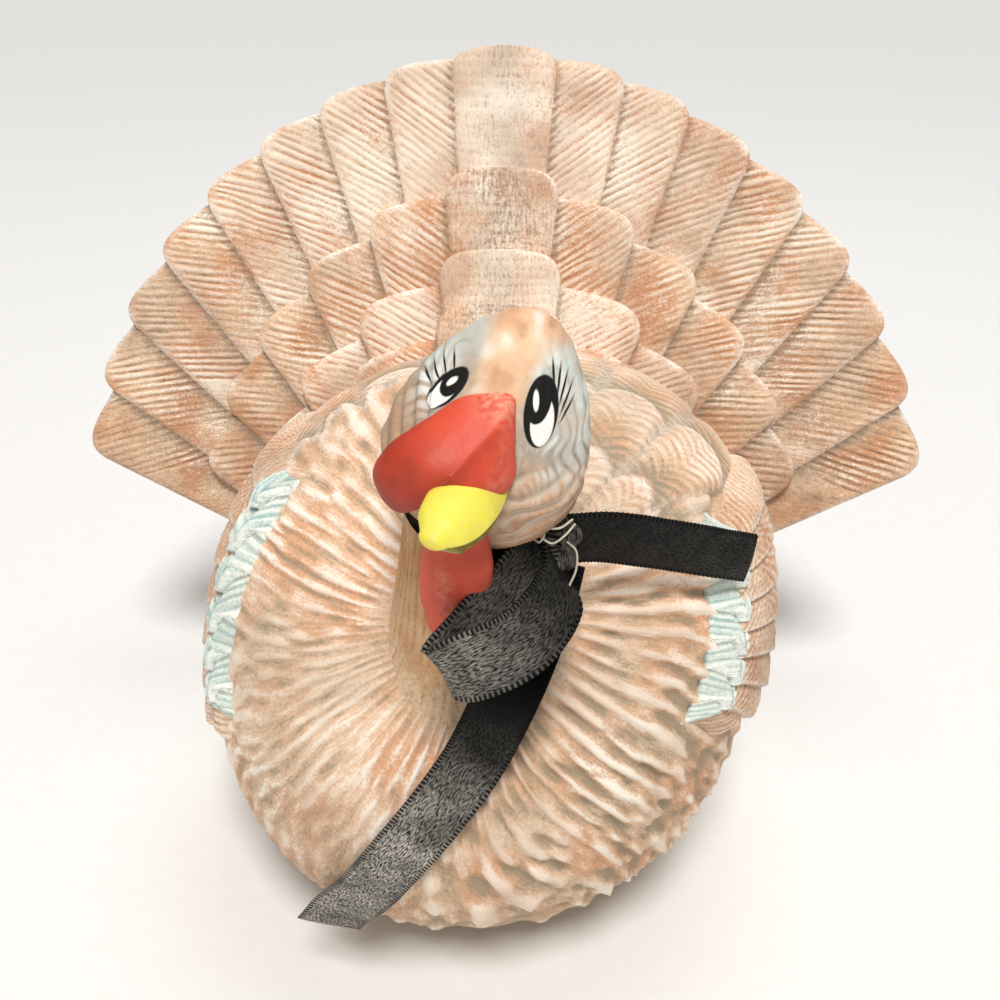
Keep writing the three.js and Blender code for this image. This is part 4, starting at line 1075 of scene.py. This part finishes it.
WATTLE = [[-1.04, -16, -9.77, 4.16, 2.7], [0.97, -13.6, -17.1, 5.2, 2.7], [3.07, -11, -25.5, 4.47, 2.43],
          [3.68, -10.4, -29.7, 2.6, 1.62]]
lobe, t, around = round_loft(WATTLE, [0, -1, 0], 90, 110)
crease = 0.25 * np.cos(around * 3 + 2 * t) * smooth(0.1, 0.4, t)
# The fold value is painted shade, darkest at the top under the beak; it also follows the creases.
wattle = closed_part(on_head(pushed(lobe, crease)), fold=np.clip(0.35 - 0.35 * t + 0.4 * crease, 0, 1),
                     rub=0.25 * smooth(0.1, 0.25, crease))
make_piece("wattle_lobe", [wattle], red_paint, "wattle")

# %% [markdown]
# One strip of black satin, 10 mm wide, goes round the neck. It is tied in a single bow: one loop, a
# short tail that stands off to the right, and a long tail that lies down the breast. Each part is a
# strip carried along a path, thin, a little cupped, with a beaded selvedge on both edges. A cloth
# simulation could drape it, but a given path follows the photograph more closely.

# %% Ribbon strip
WIDTH = 0.010
HALF_WIDTH, PICOT = WIDTH / MM / 2, 0.75


def ribbon_part(stops, rows, half=HALF_WIDTH, thick=0.42, cup=0.2, pleat=0.0, slant=0.0, gleam=(0.1, 0.1),
                seed=70):
    """A strip along a smooth path; stops are a place and the direction across; pleats are sine waves across.

    The gleam is read off a list of values spaced evenly along the strip. Gives the part and its length."""
    path = smooth_path(stops, rows)
    along = unit(np.gradient(path[:, :3], axis=0))
    across = unit(path[:, 3:] - along * np.sum(path[:, 3:] * along, axis=1, keepdims=True))[:, None]
    outwards = np.cross(along[:, None], across)
    run = np.concatenate([[0], np.cumsum(np.linalg.norm(np.diff(path[:, :3], axis=0), axis=1))])[:, None]
    s = np.linspace(-1, 1, 61 if pleat else 33)[None, :]
    edge = smooth(0.86, 0.94, np.abs(s))
    depth = (thick / 2 * (1 + edge * (0.35 + 0.4 * np.sin(2 * np.pi * run / PICOT))))[..., None]
    wave = cup * (s ** 2 - 0.33) + 0.12 * noise(run / 5, s * 2 + 9, seed)
    wave = wave + pleat * np.sin(3 * np.pi * s + 0.8 * noise(run / 6, 0 * s, seed))
    skew = slant * s * smooth(run[-1] - 14, run[-1], run)
    middle = path[:, None, :3] + across * (half * s)[..., None] + along[:, None] * skew[..., None]
    middle = middle + outwards * wave[..., None]
    shine = np.interp(run / run[-1], np.linspace(0, 1, len(gleam)), gleam)
    part = slab(middle + outwards * depth, middle - outwards * depth, across=HALF_WIDTH * s, along=run,
                gleam=shine)
    return part, float(run[-1, 0])


# %% [markdown]
# Satin is woven so that long threads float over many others, which gives it a broad, soft gloss broken
# into slanted glints. Thread pitch is really about 0.15 mm; the floats are drawn 0.22 mm wide and 0.9 mm
# long so that they show in the picture. The glints are also painted into the colour as painted sheen:
# the floats turn pale by the gleam of each piece, more in patches some 6 mm across.

# %% Black satin
FLOAT_WIDTH, FLOAT_LENGTH, FLOAT_SLANT = 0.22, 0.9, -0.6
satin, tree, shader = new_finish("woven_black_satin", Specular_IOR_Level=0.07)
across, along = stored(tree, "across"), stored(tree, "along")
lay = add(tree, "ShaderNodeCombineXYZ", {"X": across, "Y": along}).outputs[0]
slanted = add(tree, "ShaderNodeMapping", {
    "Vector": lay, "Rotation": (0, 0, FLOAT_SLANT),
    "Scale": (1 / FLOAT_WIDTH, 1 / FLOAT_LENGTH, 1)}).outputs[0]
floats = grain(tree, slanted, 1, 2.0, Distortion=0.3)
sheen_patches = ramp(tree, grain(tree, lay, 6, 2.0), 0.36, 0.62, 0.5, 1.1)
# The selvedge is a chain of loops in the outer 0.7 mm of both edges.
edge = ramp(tree, calc(tree, "ABSOLUTE", across), 4.1, 4.5)
beat = calc(tree, "MULTIPLY", along, 2 * np.pi / PICOT)
chain = ramp(tree, calc(tree, "SINE", beat), -1.0, 1.0, 0.3, 0.56)
weave = add(tree, "ShaderNodeMix", {0: edge, 2: floats, 3: chain}).outputs[0]
lit = calc(tree, "MULTIPLY", ramp(tree, weave, 0.38, 0.64, 0.04, 1.0), sheen_patches)
# Painted sheen: the floats turn pale by their lit share times the stored gleam.
black_with_painted_sheen = coated(tree, calc(tree, "MULTIPLY", lit, stored(tree, "gleam")), "#050506", "#CBC3B6")
tree.links.new(ramp(tree, weave, 0.3, 0.7, 0.55, 0.32), shader.inputs["Roughness"])
finished(tree, shader, black_with_painted_sheen, weave, 0.6, 0.00015)
print("finish:", satin.name)

# %% [markdown]
# Round the neck the strip is bunched into pleats, and it rises towards the left of the neck. The knot
# is a short bundle with deep creases, because a tied strip shows little but its folds.

# %% Collar and knot
COLLAR = np.array([1.4, -39, 99.9])
COLLAR_LEAN, COLLAR_FROM, COLLAR_TO, COLLAR_ROWS = 0.3, -0.35, 2 * np.pi - 0.9, 320
COLLAR_RADIUS, COLLAR_OVAL, COLLAR_RISE = 11.7, 0.6, 2.2
KNOT = COLLAR + [12.2, -8.48, -0.5]


def ribbon_piece(name, part, node):
    """One part of the ribbon as a piece of its own."""
    return make_piece(name, [part], satin, node)


angle = np.linspace(COLLAR_FROM, COLLAR_TO, 40)[:, None]
sine, cosine = np.sin(COLLAR_LEAN), np.cos(COLLAR_LEAN)
lean = np.array([[1, 0, 0], [0, cosine, sine], [0, -sine, cosine]])
radius = COLLAR_RADIUS + COLLAR_OVAL * np.cos(angle)
ring = np.concatenate([radius * np.cos(angle), radius * np.sin(angle), 0 * angle], axis=1) @ lean + COLLAR
ring[:, 2] += COLLAR_RISE * (1 - np.cos(angle[:, 0]))
stops = np.concatenate([ring, np.repeat(lean[2:], 40, axis=0)], axis=1)
bunched = 1.75 + 0.5 * np.cos(np.linspace(COLLAR_FROM, COLLAR_TO, COLLAR_ROWS))[:, None]
collar, collar_length = ribbon_part(stops, COLLAR_ROWS, half=bunched, thick=0.3, cup=0, pleat=0.75)
round_neck = ribbon_piece("ribbon_round_neck", collar, "ribbon_collar")

bundle_stops = np.array([[0.2, 0, 4.4, 1.6, 1.6], [0.3, -0.2, 2.4, 3.3, 3.0], [0, 0, 0, 3.0, 2.8],
                         [-0.4, 0, -2.6, 3.4, 3.0], [-0.5, 0.2, -4.6, 1.9, 1.7]]) + [*KNOT, 0, 0]
bundle, t, around = round_loft(bundle_stops, [0, -1, 0], 90, 120)
creases = np.abs(np.sin(2.5 * around + 5 * t + 0.7 * noise(around * 8 / (2 * np.pi), t * 4, 75, 8)))
flat = 0 * creases
knot = closed_part(pushed(bundle, 0.75 * (creases - 0.6)), across=around * 3 + flat, along=t * 11 + flat,
                   gleam=0.25 + flat)
tied_knot = ribbon_piece("ribbon_tied_knot", knot, "ribbon_knot")

# %% [markdown]
# Loop and tails leave the knot. The stops of each are places seen from the knot, with the direction
# across the strip. Lower down the long tail lies on the breast, placed by two angles and a small lift.

# %% Loop and tails
def from_knot(places, *across):
    """Stops at places seen from the knot, all with the same values after the place."""
    return [[*(KNOT + place), *across] for place in places]


def on_breast(around, above, lift):
    """A point above the breast from an angle round +Z, 0 in front, and an angle above level."""
    way = np.array([np.sin(around) * np.cos(above), -np.cos(around) * np.cos(above), np.sin(above)])
    return body_point(way, np.array(lift))


FRONT_LAY, BACK_LAY, SIDEWAYS = [0.35, -0.4, -0.85], [0.4, 0.1, -0.9], [-0.15, 0.24, -0.96]
front_stops = from_knot([[0.3, -1, -1.5], [0.6, -6.5, -4.5], [-4, -13.5, -8], [-10.9, -16.5, -10.5]],
                        *FRONT_LAY)
back_stops = from_knot([[-16, -15.5, -12.5], [-12, -11.2, -9], [-6.4, -6.6, -4], [-1, -1, 1]], *BACK_LAY)
# The gleam lists set how much painted sheen each strip shows along its length.
LOOP_GLEAM, LONG_GLEAM = (0.03, 0.1, 0.35, 0.6, 0.35, 0.25, 0.12), (0, 0, 0, 0.12, 0.6, 1, 1, 0.9, 0.75)
loop, loop_length = ribbon_part(front_stops + back_stops, 330, gleam=LOOP_GLEAM, seed=81)
bow_loop = ribbon_piece("ribbon_bow_loop", loop, "ribbon_loop")
short_stops = from_knot([[0.5, 0, 0.6], [8, 3, -0.6], [17.6, 8, -4.6], [32, 15.5, -11]], *SIDEWAYS)
short, short_length = ribbon_part(short_stops, 260, cup=0.35, slant=2.2, gleam=(0.03, 0.08), seed=82)
short_end = ribbon_piece("ribbon_short_end", short, "ribbon_short_tail")

ON_BREAST = [  # angle round, angle above level, height over the skin in mm
    (0, 0.25, 3), (-0.09, 0.1, 2.2), (-0.19, -0.07, 1.8), (-0.31, -0.29, 1.8), (-0.42, -0.45, 3),
    (-0.48, -0.54, 4.8)]
places = np.array(from_knot([[-0.4, 0.4, -3], [-2.4, -3.4, -11], [-6.2, -9.4, -19.5]])
                  + [on_breast(*stop) for stop in ON_BREAST])
way = np.concatenate([places[1:2] - places[:1], places[2:] - places[:-2], places[-1:] - places[-2:-1]])
long_stops = np.concatenate([places, unit(np.cross(way, places - BODY_MIDDLE))], axis=1)
long, long_length = ribbon_part(long_stops, 420, slant=4.8, gleam=LONG_GLEAM, seed=83)
long_end = ribbon_piece("ribbon_long_end", long, "ribbon_long_tail")

# %% [markdown]
# A wisp of pale thread is caught in the knot. It is only a few turns of yarn, swept as thin tubes.

# %% Thread
YARN = 0.17
THREADS = [
    [[-3.6, -2.2, 4.2], [-2.2, -3.4, 3.0], [-0.6, -3.7, 2.2], [1.2, -3.4, 3.4], [2.6, -2.2, 4.6]],
    [[-2.8, -2.8, 5.4], [-1.8, -3.6, 3.6], [-2.6, -3.5, 2.2], [-3.6, -2.6, 3.2], [-2.4, -3.2, 4.4],
     [0.4, -3.4, 4.6], [2.2, -2.6, 5.6]],
    [[1.6, -3.2, 2.2], [2.9, -2.6, 0.4], [3.0, -2.9, -2.6], [2.0, -3.6, -5.2]],
]
thread_paint, tree, shader = new_finish("frayed_pale_cotton", Roughness=0.9)
fuzz = grain(tree, in_metres(tree), 0.0008, 3.0)
finished(tree, shader, coated(tree, fuzz, "#A79F88", "#DCD5BE"))
tubes = [round_loft(from_knot(path, YARN, YARN), [0.1, -1, 0.2], 60, 10)[0] for path in THREADS]
thread = make_piece("frayed_thread", [closed_part(tube) for tube in tubes], thread_paint, "ribbon_knot")

# %% [markdown]
# The lengths of the collar, the loop and both tails are printed in mm. The knot has no path, so its
# length is worked back from half of its area, but is at least 10 mm.

print("ribbon lengths in mm:", [round(v, 1) for v in (collar_length, loop_length, short_length, long_length)])
